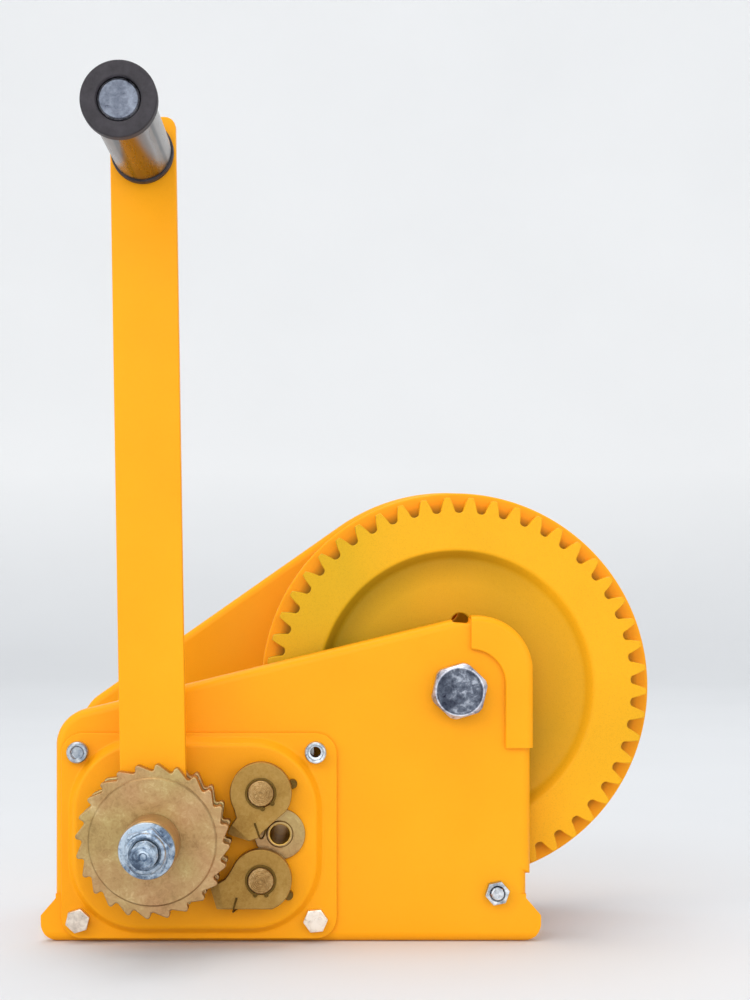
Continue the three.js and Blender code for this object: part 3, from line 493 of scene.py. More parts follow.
def drum_painted_shade(surface, colour):
    """Painted shade: darkens the paint between the drum gear's teeth, towards their roots, and inside the
    drum.
    """
    face, floor = depth("drum_gear")[0] * MM, depth("drum_flange_front")[0] * MM
    far_side = depth("drum_flange_rear")[0] * MM
    between = surface.stretch_of_y(face + 0.0004, floor - 0.0006, floor + 0.001, floor + 0.0015)
    enclosed = surface.stretch_of_y(floor - 0.0008, floor, far_side + 0.0004, far_side + 0.0008)
    # Painted shade between the teeth towards their roots, and inside the drum behind the web hole.
    root_shade = surface.product(between, surface.round_mask(AXLE, 0.0835, 0.0885))
    inner = surface.product(enclosed, surface.round_mask(AXLE, 0.036, 0.052))
    return surface.tinted(surface.tinted(colour, root_shade, (0.42, 0.54, 0.8)), inner, (0.3, 0.36, 0.2))


def drum_gear_tint_and_painted_shade(surface, colour):
    """Makes the drum gear duller and more olive towards its left, and paints shadow on its dish wall's upper
    left, on top of the drum's painted shade.
    """
    left = surface.mapped(surface.axis("X"), 0.025, 0.07, 1.0, 0.0)
    slant = surface.calculated("SUBTRACT", surface.axis("Z"), surface.axis("X"))
    level = (AXLE[1] - AXLE[0]) * MM
    upper_left = surface.mapped(slant, level, level + 0.06)
    within = surface.round_mask(AXLE, 0.0652, 0.0662)
    outside = surface.mapped(surface.round_mask(AXLE, 0.05, 0.063), 0.0, 1.0, 1.0, 0.0)
    # Painted shadow on the dish wall's upper left; then a duller, more olive tint towards the left.
    colour = surface.tinted(colour, surface.product(within, outside, upper_left), (0.55, 0.56, 0.6))
    return drum_painted_shade(surface, surface.tinted(colour, left, (0.78, 0.94, 1.0)))


def paint(name, low, middle, high, grain, painted_shading):
    """Sprayed enamel over powder: a slow drift of tone, orange peel, and fine grain. Its last argument adds
    painted shade to the colour.
    """
    surface = Surface(name)
    colour = surface.ramp(surface.noise(14, 2), [(0.3, low), (0.52, middle), (0.75, high)])
    specks = surface.ramp(surface.noise(1900, 2, 0.7), [(0.3, (0.86, 0.84, 0.8)), (0.5, WHITE)])
    smear = surface.noise(60, 4, 0.6)
    peel = surface.bumped(surface.noise(420, 2), 0.00006)
    return surface.shaded({
        # The colour, with painted shade added by the last argument.
        "Base Color": painted_shading(surface, surface.mixed(colour, specks, grain, "MULTIPLY")),
        "Roughness": surface.mapped(smear, 0.3, 0.7, 0.36, 0.5),
        "Normal": surface.bumped(surface.noise(2600, 2, 0.6), 0.00003 * (0.5 + 2 * grain), Normal=peel),
        "Specular IOR Level": 0.11, "Coat Weight": 0.06, "Coat Roughness": 0.2,
    })


def plated(name, stops, rough, crystal, swirl=0.0, spots=(), tints=None):
    """Mottled crystals, a slow change of tint and fine scratches. Spots have stops of their own."""
    surface = Surface(name)
    warp = surface.noise(45, 4, 0.6, 0.6 + swirl)
    fleck = surface.noise(crystal, 5, 0.65, 0.4 + swirl)
    blotches = surface.mixed(warp, fleck, 0.45)
    colour = surface.ramp(blotches, stops)
    if tints:
        colour = surface.mixed(colour, surface.ramp(surface.noise(24, 2), tints), 1.0, "MULTIPLY")
    for at, radius, spot_stops in spots:
        mask = surface.round_mask(at, radius, radius + 0.0005)
        colour = surface.mixed(colour, surface.ramp(blotches, spot_stops), mask)
    scratches = surface.node("TexWave", {
        "Vector": surface.place, "Scale": 240, "Distortion": 9 + 20 * swirl, "Detail": 4, "Detail Scale": 3.5,
    }, "Fac", wave_type="RINGS")
    return surface.shaded({
        "Base Color": colour,
        "Roughness": surface.mapped(fleck, 0.3, 0.7, *rough),
        "Normal": surface.bumped(fleck, 0.00004, Normal=surface.bumped(scratches, 0.000012)),
        "Metallic": 0.95,
    })


def polished_tube(name):
    """A drawn tube with painted reflections in bands round its axis: grey, tan, and a brown that stands for
    the orange arm reflected in it, with dark lines along it.
    """
    surface = Surface(name)
    middle = (GRIP[0] * MM, 0, GRIP[1] * MM)
    centred = surface.node("VectorMath", {0: surface.place, 1: middle}, "Vector", operation="SUBTRACT")
    angle = surface.calculated("ARCTAN2", surface.axis("Z", centred), surface.axis("X", centred))
    streak = surface.noise(1, 4, 0.6, 0.3, surface.stretched((110, 9, 110)))
    waver = surface.mapped(streak, 0.3, 0.7, -0.012, 0.012)
    turn = surface.calculated("ADD", surface.mapped(angle, -math.pi, math.pi), waver)
    tan, reflected_arm_brown = (0.17, 0.12, 0.09), (0.085, 0.04, 0.014)
    grey, line = (0.23, 0.21, 0.195), (0.01, 0.006, 0.004)
    # Painted reflections, set by the angle round the tube's axis.
    painted_reflection_bands = [
        (0.0, grey), (0.19, tan), (0.205, line), (0.225, line), (0.24, (0.14, 0.09, 0.06)), (0.3, reflected_arm_brown),
        (0.35, reflected_arm_brown), (0.37, grey), (0.405, tan), (0.418, line), (0.43, line), (0.445, grey),
        (0.6, (0.4, 0.4, 0.4)),
    ]
    fine = surface.noise(1, 2, place=surface.stretched((900, 20, 900)))
    return surface.shaded({
        "Base Color": surface.ramp(turn, painted_reflection_bands),
        "Roughness": surface.mapped(streak, 0.3, 0.7, 0.22, 0.34),
        "Normal": surface.bumped(fine, 0.00001),
        "Metallic": 0.85,
    })


def rubber(name, low, high):
    """Moulded rubber: cloudy tone and a fine pebbled grain."""
    surface = Surface(name)
    cloud = surface.noise(160, 5, 0.65)
    return surface.shaded({
        "Base Color": surface.ramp(cloud, [(0.35, low), (0.7, high)]),
        "Roughness": surface.mapped(cloud, 0.3, 0.7, 0.5, 0.68),
        "Normal": surface.bumped(surface.noise(1500, 3, 0.6), 0.00008),
        "Specular IOR Level": 0.35,
    })


def pale_floor():
    """Pale grey at the floor, and lighter where the stage curves up behind."""
    surface = Surface("pale_floor")
    cloud = surface.noise(3)
    low = surface.ramp(cloud, [(0.3, (0.70, 0.715, 0.735)), (0.7, (0.72, 0.735, 0.755))])
    high = surface.ramp(cloud, [(0.3, (0.93, 0.935, 0.94)), (0.7, (0.95, 0.955, 0.96))])
    rise = surface.mapped(surface.axis("Z"), 0.0, 0.35)
    return surface.shaded({"Base Color": surface.mixed(low, high, rise), "Roughness": 0.85})


def materials():
    """A material for each slot of the record."""
    dark_face = [
        (0.42, (0.028, 0.032, 0.05)), (0.5, (0.062, 0.072, 0.098)), (0.57, (0.125, 0.142, 0.18)),
        (0.65, (0.38, 0.41, 0.47)),
    ]
    bright_ring = [(0.4, (0.2, 0.21, 0.27)), (0.5, (0.5, 0.52, 0.6)), (0.6, (0.8, 0.8, 0.86))]
    grey_end = [(0.41, (0.05, 0.057, 0.078)), (0.5, (0.115, 0.13, 0.165)), (0.62, (0.21, 0.235, 0.285))]
    blue_nut = [(0.4, (0.075, 0.105, 0.16)), (0.48, (0.2, 0.265, 0.355)), (0.58, (0.52, 0.61, 0.7))]
    warm_head = [(0.4, (0.62, 0.53, 0.45)), (0.5, (0.8, 0.71, 0.61)), (0.6, (0.95, 0.87, 0.77))]
    # Painted light: a brighter gold inside the idler shaft's bore than the shaft's own zinc.
    bore_painted_light = [(0.4, (0.72, 0.44, 0.06)), (0.6, (0.86, 0.56, 0.1))]
    pin_end = [(0.4, (0.27, 0.15, 0.05)), (0.5, (0.41, 0.25, 0.095)), (0.6, (0.62, 0.42, 0.2))]
    zinc = [(0.4, (0.26, 0.3, 0.36)), (0.5, (0.5, 0.54, 0.58)), (0.6, (0.84, 0.88, 0.92))]
    yellow_zinc = [
        (0.36, (0.35, 0.215, 0.1)), (0.47, (0.47, 0.3, 0.145)), (0.56, (0.52, 0.36, 0.18)),
        (0.68, (0.66, 0.5, 0.29)),
    ]
    bronze_zinc = [(0.36, (0.29, 0.155, 0.035)), (0.5, (0.38, 0.22, 0.056)), (0.66, (0.47, 0.295, 0.09))]
    steel = [(0.35, (0.3, 0.29, 0.28)), (0.55, (0.5, 0.5, 0.49)), (0.7, (0.66, 0.66, 0.65))]
    dark_steel = [(0.35, (0.11, 0.06, 0.012)), (0.6, (0.17, 0.1, 0.022)), (0.75, (0.27, 0.18, 0.055))]
    bronze = [(0.35, (0.36, 0.22, 0.07)), (0.55, (0.55, 0.37, 0.15)), (0.7, (0.7, 0.5, 0.25))]
    zinc_spots = [
        (AXLE, 0.0155, bright_ring), (AXLE, 0.0106, dark_face), (GRIP, 0.0092, bright_ring),
        (GRIP, 0.0078, grey_end), (CRANK, 0.014, blue_nut),
        *((centre(f"plate_bolt_lower_{side}"), 0.0064, warm_head) for side in ("left", "right")),
    ]
    pin_spots = [(at, 0.0058, pin_end) for at in PAWL.values()]
    return {
        "paint": paint("paint", (0.96, 0.374, 0.006), (1.0, 0.4, 0.007), (1.0, 0.42, 0.01), 0.25, drum_painted_shade),
        "gear_paint": paint(
            "gear_paint", (0.78, 0.40, 0.010), (0.92, 0.44, 0.010), (1.0, 0.465, 0.012), 0.8, drum_gear_tint_and_painted_shade,
        ),
        "zinc": plated("zinc", zinc, (0.24, 0.42), 420, spots=zinc_spots),
        "yellow_zinc": plated(
            "yellow_zinc", yellow_zinc, (0.3, 0.46), 420, 0.8, [(IDLER, 0.0047, bore_painted_light)],
            [(0.4, (1.0, 0.9, 0.88)), (0.6, (0.92, 0.98, 0.82))],
        ),
        "bronze_zinc": plated("bronze_zinc", bronze_zinc, (0.36, 0.52), 700, 0.3, pin_spots),
        "steel": plated("steel", steel, (0.3, 0.45), 300),
        "dark_steel": plated("dark_steel", dark_steel, (0.32, 0.5), 500),
        "polished": polished_tube("polished"),
        "bronze": plated("bronze", bronze, (0.28, 0.42), 350),
        "black": rubber("black", (0.02, 0.017, 0.021), (0.05, 0.044, 0.052)),
        "lining": rubber("lining", (0.05, 0.038, 0.028), (0.1, 0.08, 0.06)),
    }


# ---------------- pieces


def piece(node, mesh, name=None, body=None, slot=None, replaces=None):
    """Puts a solid in the scene in metres. It rides on its node's body and stands for that node or others."""
    slot = slot or SLOT_OF[node]
    mesh.transform(Matrix.Scale(MM, 4))
    mesh.materials.clear()
    mesh.materials.append(MATERIALS[slot])
    made = bpy.data.objects.new(name or f"{node}.made", mesh)
    mesh.name = made.name
    bpy.context.scene.collection.objects.link(made)
    mesh.shade_smooth()
    mesh.set_sharp_from_angle(angle=math.radians(SHARP))
    weighted = made.modifiers.new("weighted_normals", "WEIGHTED_NORMAL")
    weighted.keep_sharp = True
    weighted.weight = 80
    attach(made, body or BODY_OF[node])
    replaces = [node] if replaces is None else replaces
    if replaces:
        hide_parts(*replaces)


def add(node, shape, *sizes, **more):
    """Makes the piece of one CAD node. A shape is a function of the node's name and some sizes."""
    piece(node, shape(node, *sizes, **more))


def sleeve(node, at, hole, radius, soft=SOFT):
    return tube(at, hole, radius, *depth(node), soft)


# ---------------- frame sheet

BASE = {
    "half": 117.35, "wall_half": 110.35, "shoulder": 12.5, "top": 20.6,
    "corner": 9, "bend": 5, "plan_corner": 16,
}
BASE_SLOT = {"x": 80, "y": 28, "width": 11, "length": 26}
TOP_EDGE = {"slope": 13.7, "x": -97.5, "z": 108.8}  # the front wall's sloping edge, and a point on it
FOLD = 4


def foot():
    """The lower part of a wall's outline, from its left shoulder round the bottom to its right shoulder."""
    half, corner = BASE["half"], BASE["corner"]
    points = [(-BASE["wall_half"], BASE["top"]), (-half, BASE["shoulder"])]
    points += arc((-half + corner, corner), corner, 180, 270)
    points += arc((half - corner, corner), corner, -90, 0)
    return points + [(half, BASE["shoulder"]), (BASE["wall_half"], BASE["top"])]


def front_outline():
    corner, right, right_corner, lip_bottom = 17, 33.7, 24.8, 32
    points = foot() + [(BASE["wall_half"], lip_bottom), (AXLE[0] + right, lip_bottom)]
    inward = right - right_corner
    points += arc((AXLE[0] + inward, AXLE[1] + inward), right_corner, 0, 90)
    rise, flat_top = math.radians(TOP_EDGE["slope"]), AXLE[1] + right
    points.append((TOP_EDGE["x"] + (flat_top - TOP_EDGE["z"]) / math.tan(rise), flat_top))
    x = -BASE["wall_half"] + corner
    z = TOP_EDGE["z"] + (x - TOP_EDGE["x"]) * math.tan(rise) - corner / math.cos(rise)
    return points + arc((x, z), corner, 90 + TOP_EDGE["slope"], 180)


def rear_outline():
    radius, slope, corner, end_angle, low = 96, 35, 20, -50, 24
    tangent = polar(AXLE, radius, math.radians(90 + slope))
    fall = math.radians(slope)
    x = -BASE["wall_half"] + corner
    z = tangent[1] - (tangent[0] - x) * math.tan(fall) - corner / math.cos(fall)
    points = foot() + [(BASE["wall_half"], low)]
    points += arc(AXLE, radius, end_angle, 90 + slope)
    return points + arc((x, z), corner, 90 + slope, 180)


def channel(height):
    """The folded U of the base, running along X."""
    half, bend = BASE["half"] + 1, BASE["bend"]
    left, right = (WALL_FRONT + bend, bend), (WALL_REAR - bend, bend)
    section = [(WALL_FRONT, height)] + arc(left, bend, 180, 270) + arc(right, bend, -90, 0)
    section += [(WALL_REAR, height), (REAR_INSIDE, height)] + arc(right, bend - SHEET, 0, -90)
    section += arc(left, bend - SHEET, 270, 180) + [(FRONT_INSIDE, height)]
    return loft([[(x, y, z) for y, z in section] for x in (-half, half)])


def lying_slab(outline, at=(0, 0)):
    """A flat outline in the XY plane, thick enough to pass through the base."""
    return loft([[(x + at[0], y + at[1], z) for x, y in outline] for z in (-1, SHEET + 1)])


def folded_wall(outline, face, lip, keep):
    """A wall of sheet metal whose rounded edge is folded away from the front."""
    wall = slab(outline, face, face + SHEET, FOLD - 0.05, steps=8)
    above = block(-FAR, FAR, -FAR, FAR, BASE["top"], FAR)
    edge = slab(outline, face, face + lip, FOLD, 0.5, steps=8)
    hollow = slab(inset(outline, SHEET), face + SHEET / 2, face + lip + 1)
    return crossed(wall, above), cut(crossed(edge, keep), hollow)


def frame_sheet():
    half, wall_half, top, bend = (BASE[key] for key in ("half", "wall_half", "top", "bend"))
    lap = 2
    front, rear = front_outline(), rear_outline()
    plan = rounded_rectangle(-half, half, WALL_FRONT + bend, WALL_REAR - bend, BASE["plan_corner"])
    footprint = joined(
        slab(front, WALL_FRONT - 1, WALL_FRONT + bend + lap),
        slab(rear, WALL_REAR - bend - lap, WALL_REAR + 1),
        lying_slab(plan),
    )

    def lip_zone(near, far, left_end, right_end):
        """Where the folded edge stays: above its left end and its right end."""
        return joined(
            block(-wall_half + lap, 0, near, far, left_end, FAR), block(-lap, FAR, near, far, right_end, FAR),
        )

    front_lip, rear_lip = 13, 10
    sheet = joined(
        crossed(channel(top + lap), footprint),
        *folded_wall(front, WALL_FRONT, front_lip, lip_zone(-FAR, 0, 95, 32)),
        *folded_wall(rear, REAR_INSIDE, rear_lip, lip_zone(0, FAR, 90, 40)),
    )
    notch = softened([(75.6, 149.9), (84, 149.2), (84, FAR), (75.6, FAR)], 1.2)
    holes = [slab(notch, -FAR, 0)]
    for at, radius in ((AXLE, M16["hole"]), (IDLER, 9.3), (CRANK, 11.3), (TIE_ROD, M6["hole"])):
        holes.append(bore(at, radius, WALL_FRONT, FRONT_INSIDE))
        holes.append(bore(at, radius, REAR_INSIDE, WALL_REAR))
    for node in PLATE_FIXINGS:
        holes.append(bore(centre(node), M6["hole"], WALL_FRONT, FRONT_INSIDE))
    slot_end, reach = BASE_SLOT["width"] / 2, (BASE_SLOT["length"] - BASE_SLOT["width"]) / 2
    slot_shape = arc((reach, 0), slot_end, -90, 90) + arc((-reach, 0), slot_end, 90, 270)
    for x in (-BASE_SLOT["x"], BASE_SLOT["x"]):
        for y in (-BASE_SLOT["y"], BASE_SLOT["y"]):
            holes.append(lying_slab(slot_shape, (x, y)))
    return cut(sheet, *holes)


def corner_guard(node):
    """The strip folded over the corner of the front wall beside the axle."""
    start_x, right, front, rear, bottom, _ = extent(node)
    outer, outer_inward = right - AXLE[0], 8.9
    skirt, face_rear = 0.9, WALL_FRONT - 0.3
    inner_right, inner_corner, inner_rise = 21.8, 16.3, 3
    bend, turns = 3.4, 48

    def edge(share):
        """The strip's outer edge at a share of the way round its corner, its direction and its inner edge."""
        angle = math.radians(90 * share)
        out = polar((AXLE[0] + outer_inward, AXLE[1] + outer_inward), outer - outer_inward, angle)
        centre_in = (AXLE[0] + inner_right - inner_corner, AXLE[1] + inner_rise)
        return out, (math.cos(angle), math.sin(angle)), polar(centre_in, inner_corner, angle)

    def ring(out, direction, inside):
        def pulled(distance):
            return (out[0] - distance * direction[0], out[1] - distance * direction[1])

        points = [(inside, face_rear), (inside, front + 0.5)]
        points.append(((inside[0] + 0.5 * direction[0], inside[1] + 0.5 * direction[1]), front))
        for distance, y in arc((bend, front + bend), bend, 270, 180):
            points.append((pulled(distance), y))
        points += [(pulled(0), rear), (pulled(skirt), rear), (pulled(skirt), face_rear)]
        return [(x, y, z) for (x, z), y in points]

    below = ((AXLE[0] + outer, bottom), (1, 0), (AXLE[0] + inner_right, bottom))
    rings = [ring(*below)] + [ring(*edge(i / turns)) for i in range(turns + 1)]
    out, direction, inside = edge(1)
    rings.append(ring((out[0] - 20, out[1]), direction, (inside[0] - 20, inside[1])))
    return crossed(loft(rings), block(start_x, FAR, -FAR, FAR, 0, FAR))


def brake_plate(node):
    """A flat plate with a large raised pan pressed in it."""
    left, right, face, rear, bottom, top = extent(node)
    front, wall, edge_corner, pan_corner, steps = -57.3, 2, 10, 33, 24
    edge, pan = (left, right, bottom, top), (left + 4.5, right - 7.6, bottom + 3.5, top - 2.8)

    def ring(rectangle, corner, y, grow):
        corner = corner + grow
        x0, x1, z0, z1 = (side + grow * sign for side, sign in zip(rectangle, (-1, 1, -1, 1)))
        points = []
        for x, z, start in (
            (x1 - corner, z0 + corner, -90), (x1 - corner, z1 - corner, 0),
            (x0 + corner, z1 - corner, 90), (x0 + corner, z0 + corner, 180),
        ):
            points += [polar((x, z), corner, math.radians(start + 90 * i / steps)) for i in range(steps + 1)]
        return at_depth(points, y)

    def bend(radius, degrees):
        """How far a bend has left its first face and its second one, after each angle."""
        return [(radius * (1 - math.cos(a)), radius * (1 - math.sin(a))) for a in map(math.radians, degrees)]

    hollow = [(face + wall, -5.4), (face + wall, -5.0), (face + wall + 1.2, -3.4), (rear, -1.8)]
    border = [(rear, -0.4), (rear - 0.4, 0), (front + 0.5, 0), (front + 0.15, -0.15), (front, -0.5)]
    raised = [(front - out, across) for out, across in bend(1.6, range(0, 73, 12))]
    raised += [(face + out, -1.1 - across) for out, across in bend(2.6, [72 - 72 * i / 7 for i in range(8)])]
    rings = [ring(pan, pan_corner, *place) for place in hollow]
    rings += [ring(edge, edge_corner, *place) for place in border]
    rings += [ring(pan, pan_corner, *place) for place in raised + [(face, -5.5)]]
    holes = [bore(CRANK, 9, face, face + wall), bore(IDLER, 9.3, face, face + wall)]
    holes += [bore(at, PIN_HOLE, face, face + wall) for at in PAWL.values()]
    holes += [bore(centre(fixing), M6["hole"], front, rear) for fixing in PLATE_FIXINGS]
    return cut(loft(rings), *holes)


# ---------------- fixings


def bolt(node, size, turn):
    """A hexagon bolt with its head in front and its threaded end behind."""
    at, (front, rear) = centre(node), depth(node)
    head_end, thread = front + 4, 6
    thread_start = max(head_end + 1, rear - thread)
    head = hexagon(at, size["corners"], front, head_end, turn, rear_chamfer=0)
    shank = rod(at, size["radius"], head_end - 1, thread_start + 0.5)
    return joined(head, shank, threaded(at, size["radius"], thread_start, rear, 1))


def nut(node, size, turn):
    at, (front, rear) = centre(node), depth(node)
    return cut(hexagon(at, size["corners"], front, rear, turn), bore(at, size["hole"], front, rear, 0.5))


def plate_screw(node):
    """A round head with a hexagon socket."""
    at, (front, rear) = centre(node), depth(node)
    head, seat = 5, front + 4.6
    profile = [(head - 0.6, front), (head, front + 0.6), (head, seat)]
    profile += [(3, seat), (3, rear - 0.5), (2.5, rear)]
    outline = [polar(at, 2.9, math.radians(60 * i + 12)) for i in range(6)]
    cone = turned([(3.3, front - 1), (3.3, front), (2.7, front + 0.6)], at, soft=0)
    return cut(turned(profile, at, 0.25), joined(slab(outline, front - 1, front + 2.8), cone))


def plate_spacer(node):
    at, (front, rear) = centre(node), depth(node)
    seat = front + 6
    profile = [(3.7, front), (4.6, front), (5, front + 0.4), (5, seat), (3, seat), (3, rear), (2.5, rear)]
    counterbore = [(2.5, seat - 1), (3.5, seat - 1), (3.5, front + 0.2)]
    return turned(profile + counterbore, at, 0.12, hollow=True)


def tie_rod(node):
    """A rod with a thread at each end and a thinner waist between them."""
    front, rear = depth(node)
    radius, waist, thread, pitch = M6["radius"], 2.6, 12.5, 1
    middle = rod(TIE_ROD, waist, front + 12, rear - 12)
    ends = [(front, front + thread), (rear - thread, rear)]
    return joined(middle, *(threaded(TIE_ROD, radius, start, end, pitch) for start, end in ends))


def axle_bolt(node):
    """The big bolt that the drum turns on. Its forged head has a shallow dished face."""
    front, rear = depth(node)
    head_end, thread = front + 10, 17
    head = hexagon(AXLE, M16["corners"], front, head_end - 0.6, math.radians(17), 0.4, 0)
    head = crossed(head, rod(AXLE, 13.2, front, head_end, 1.8))
    collar = rod(AXLE, 11.5, head_end - 1, head_end)
    dish = turned([(10.2, front - 1), (10.2, front), (9.4, front + 0.35)], AXLE, 0.1)
    shank = rod(AXLE, M16["radius"], head_end - 1, rear - thread)
    return joined(cut(head, dish), collar, shank, threaded(AXLE, M16["radius"], rear - thread - 0.5, rear, 2))


def flanged_bush(node, hole, outer, flange, flange_in_front):
    at, (front, rear), thick = centre(node), depth(node), 1.7
    if not flange_in_front:
        front, rear, thick = rear, front, -thick
    step = front + thick
    profile = [(hole, front), (flange, front), (flange, step), (outer, step), (outer, rear), (hole, rear)]
    return turned(profile, at, hollow=True)


# ---------------- drum

GEAR_PRESSURE = math.radians(20)
TOOTH_THINNING = 0.36
DRUM_TEETH, PINION_TEETH, WHEEL_TEETH, CRANK_TEETH = 50, 11, 26, 12
COARSE, FINE = 3.5, 3.0


def involute(angle):
    return math.tan(angle) - angle


def gear_outline(at, teeth, module, phase, valley=0.0):
    """A spur gear's outline with a tooth centred on the phase angle. A valley height makes U-shaped roots."""
    pitch = module * teeth / 2
    base = pitch * math.cos(GEAR_PRESSURE)
    tip, root = pitch + module, pitch - 1.25 * module
    half_at_pitch = math.pi / (2 * teeth) - TOOTH_THINNING / (2 * pitch)
    flank_steps, valley_steps = 6, 10

    def half_at(radius):
        return half_at_pitch + involute(GEAR_PRESSURE) - involute(math.acos(min(1, base / radius)))

    foot_radius = max(root + valley, base)
    flank = [(root, 0.7 * half_at(base))] if base > root else []
    for i in range(flank_steps + 1):
        radius = foot_radius + (tip - foot_radius) * i / flank_steps
        flank.append((radius, half_at(radius)))
    points = []
    half_gap = math.pi / teeth - flank[0][1]
    for tooth in range(teeth):
        middle = phase + 2 * math.pi * tooth / teeth
        points += [polar(at, radius, middle - half) for radius, half in flank]
        points += [polar(at, radius, middle + half) for radius, half in reversed(flank)]
        for step in range(1, valley_steps if valley else 1):
            turn = math.pi * step / valley_steps
            deep = foot_radius - 0.75 * valley * math.sin(turn)
            points.append(polar(at, deep, middle + math.pi / teeth - half_gap * math.cos(turn)))
    return points


def meshed_phase(other_phase, other_teeth, teeth, direction):
    """The phase of a gear that meshes with another. The direction points from the other gear to it."""
    offset = (direction - other_phase) / (2 * math.pi / other_teeth)
    return direction + math.pi - (0.5 - offset % 1) * 2 * math.pi / teeth


TRAIN_ANGLE = math.radians(38.4)
DRUM_PHASE = math.radians(89) + math.pi / DRUM_TEETH
PINION_PHASE = meshed_phase(DRUM_PHASE, DRUM_TEETH, PINION_TEETH, TRAIN_ANGLE + math.pi)
WHEEL_PHASE = 0.0
CRANK_PHASE = meshed_phase(WHEEL_PHASE, WHEEL_TEETH, CRANK_TEETH, math.pi)
DRUM_HOLE = 16.3  # in what sits on the core's spigots


def drum_core(node):
    """The winding core, between two spigots that carry the flanges."""
    front, rear = depth(node)
    inner_front = depth("drum_flange_front")[1] + 0.3
    inner_rear = depth("drum_flange_rear")[0] - 0.3
    hole, spigot, core = 13, 16, 25
    return turned([
        (hole, front), (spigot, front), (spigot, inner_front), (core, inner_front),
        (core, inner_rear), (spigot, inner_rear), (spigot, rear), (hole, rear),
    ], AXLE, hollow=True)


def web_hole(front, rear, flare):
    """The hole through the gear's web and the front flange behind it."""
    return bore(polar(AXLE, 31.3, math.radians(85.8)), 4.4, front, rear, flare)


def drum_flange(node):
    return sleeve(node, AXLE, DRUM_HOLE, 93.4, 1.1)


def drum_front_flange(node):
    return cut(drum_flange(node), web_hole(*depth(node), 0.3))


def clamp_holes(front, rear):
    return [bore(centre(f"rope_clamp_screw_{side}"), M6["hole"], front, rear) for side in ("left", "right")]


def drum_rear_flange(node):
    front, rear = depth(node)
    rope_hole = bore((AXLE[0], AXLE[1] + 35), 5.5, front, rear, 0.8)
    return cut(drum_flange(node), rope_hole, *clamp_holes(front, rear))


def drum_gear(node):
    """A cast gear with a dished front: a flat toothed rim, a sloping wall and a flat web."""
    front, rear = depth(node)
    outline = gear_outline(AXLE, DRUM_TEETH, COARSE, DRUM_PHASE, valley=2.0)
    blank = slab(outline, front, rear, 0.5, 0.5, corners=(0.6, 0))
    rim, web, web_face = 65.9, 50.6, front + 5
    profile = [(rim + 1.2, front - 3), (rim + 1.2, front), (rim + 0.3, front + 0.2)]
    profile.append((rim - 0.8, front + 0.75))
    wall = [(rim - 0.8, front + 0.75), (rim - 4, front + 3.8), (web, web_face), (0, web_face)]
    profile += softened(wall, 4, closed=False, steps=6)[1:-1]
    dish = turned(profile, AXLE, soft=0)
    return cut(cut(blank, dish), bore(AXLE, DRUM_HOLE, web_face, rear), web_hole(web_face, rear, 0.5))


def rope_clamp(node):
    """A pressed clamp plate with a channel across it for the rope."""
    front, rear = depth(node)
    x, z = centre(node)
    wide, high, corner = 17, 8, 3
    plate = slab(rounded_rectangle(x - wide, x + wide, z - high, z + high, corner), front, rear, 0.3, 0.6)
    section = [(4 * math.cos(a), 3.6 * math.sin(a)) for a in np.linspace(0, 2 * math.pi, 33)[:-1]]
    groove = loft([[(x + dx, front - 2.2 + dy, z + dz) for dx, dy in section] for dz in (-12, 12)])
    return cut(plate, groove, *clamp_holes(front, rear))


def rope_clamp_screw(node, turn):
    at, (front, rear) = centre(node), depth(node)
    head = hexagon(at, M6["corners"], rear - 4, rear, turn, front_chamfer=0)
    return joined(head, threaded(at, M6["radius"], front, rear - 3.5, 1))


# ---------------- shafts


def spur_gear(node, at, teeth, module, phase):
    front, rear = depth(node)
    blank = slab(gear_outline(at, teeth, module, phase), front, rear, 0.3, 0.3, corners=(0.25, 0.7))
    return cut(blank, bore(at, SHAFT_HOLE, front, rear))


def idler_shaft(node):
    front, rear = depth(node)
    body, journal, hole, body_half = 8, 6, 4.6, 50
    return turned([
        (hole, front), (journal, front), (journal, -body_half), (body, -body_half),
        (body, body_half), (journal, body_half), (journal, rear), (hole, rear),
    ], IDLER, 0.4, hollow=True)


def crank_shaft(node):
    """The threaded crank shaft. Its end face is turned in steps round a centre hole."""
    front, rear = depth(node)
    thread_start, thread, radius, groove = -93.2, 6, 8, front + 0.25
    profile = [(0.9, front + 1.4), (1.9, groove), (2.0, front), (2.9, groove), (3.0, front), (3.9, groove)]
    profile += [(4.0, front), (4.7, front + 0.1), (4.7, front + 1.2)]
    tip = turned(profile, CRANK, 0.08)
    screw = threaded(CRANK, thread, front + 0.9, thread_start + 1, 1.75, sides=64)
    body = turned([
        (thread - 0.6, thread_start - 0.5), (radius, thread_start), (radius, rear - 1), (radius - 1, rear),
    ], CRANK)
    return joined(body, screw, tip)


def circlip(node, at, inner, outer, opening, lug):
    """An open spring ring with an eye at each end. The opening is an angle in degrees."""
    front, rear = depth(node)
    gap = 17
    ring = arc(at, outer, opening + gap, opening + 360 - gap)
    ring += arc(at, inner, opening + 360 - gap, opening + gap)
    clip = slab(softened(ring, 0.2), front, rear, 0.15, 0.15)
    eyes = []
    for side in (-1, 1):
        eye = polar(at, (inner + outer) / 2 + 0.35 * lug, math.radians(opening + side * (gap + 4)))
        clip = joined(clip, slab(circle(eye, lug), front, rear, 0.15, 0.15))
        eyes.append(bore(eye, 0.3 * lug, front, rear, 0.05))
    return cut(clip, *eyes)


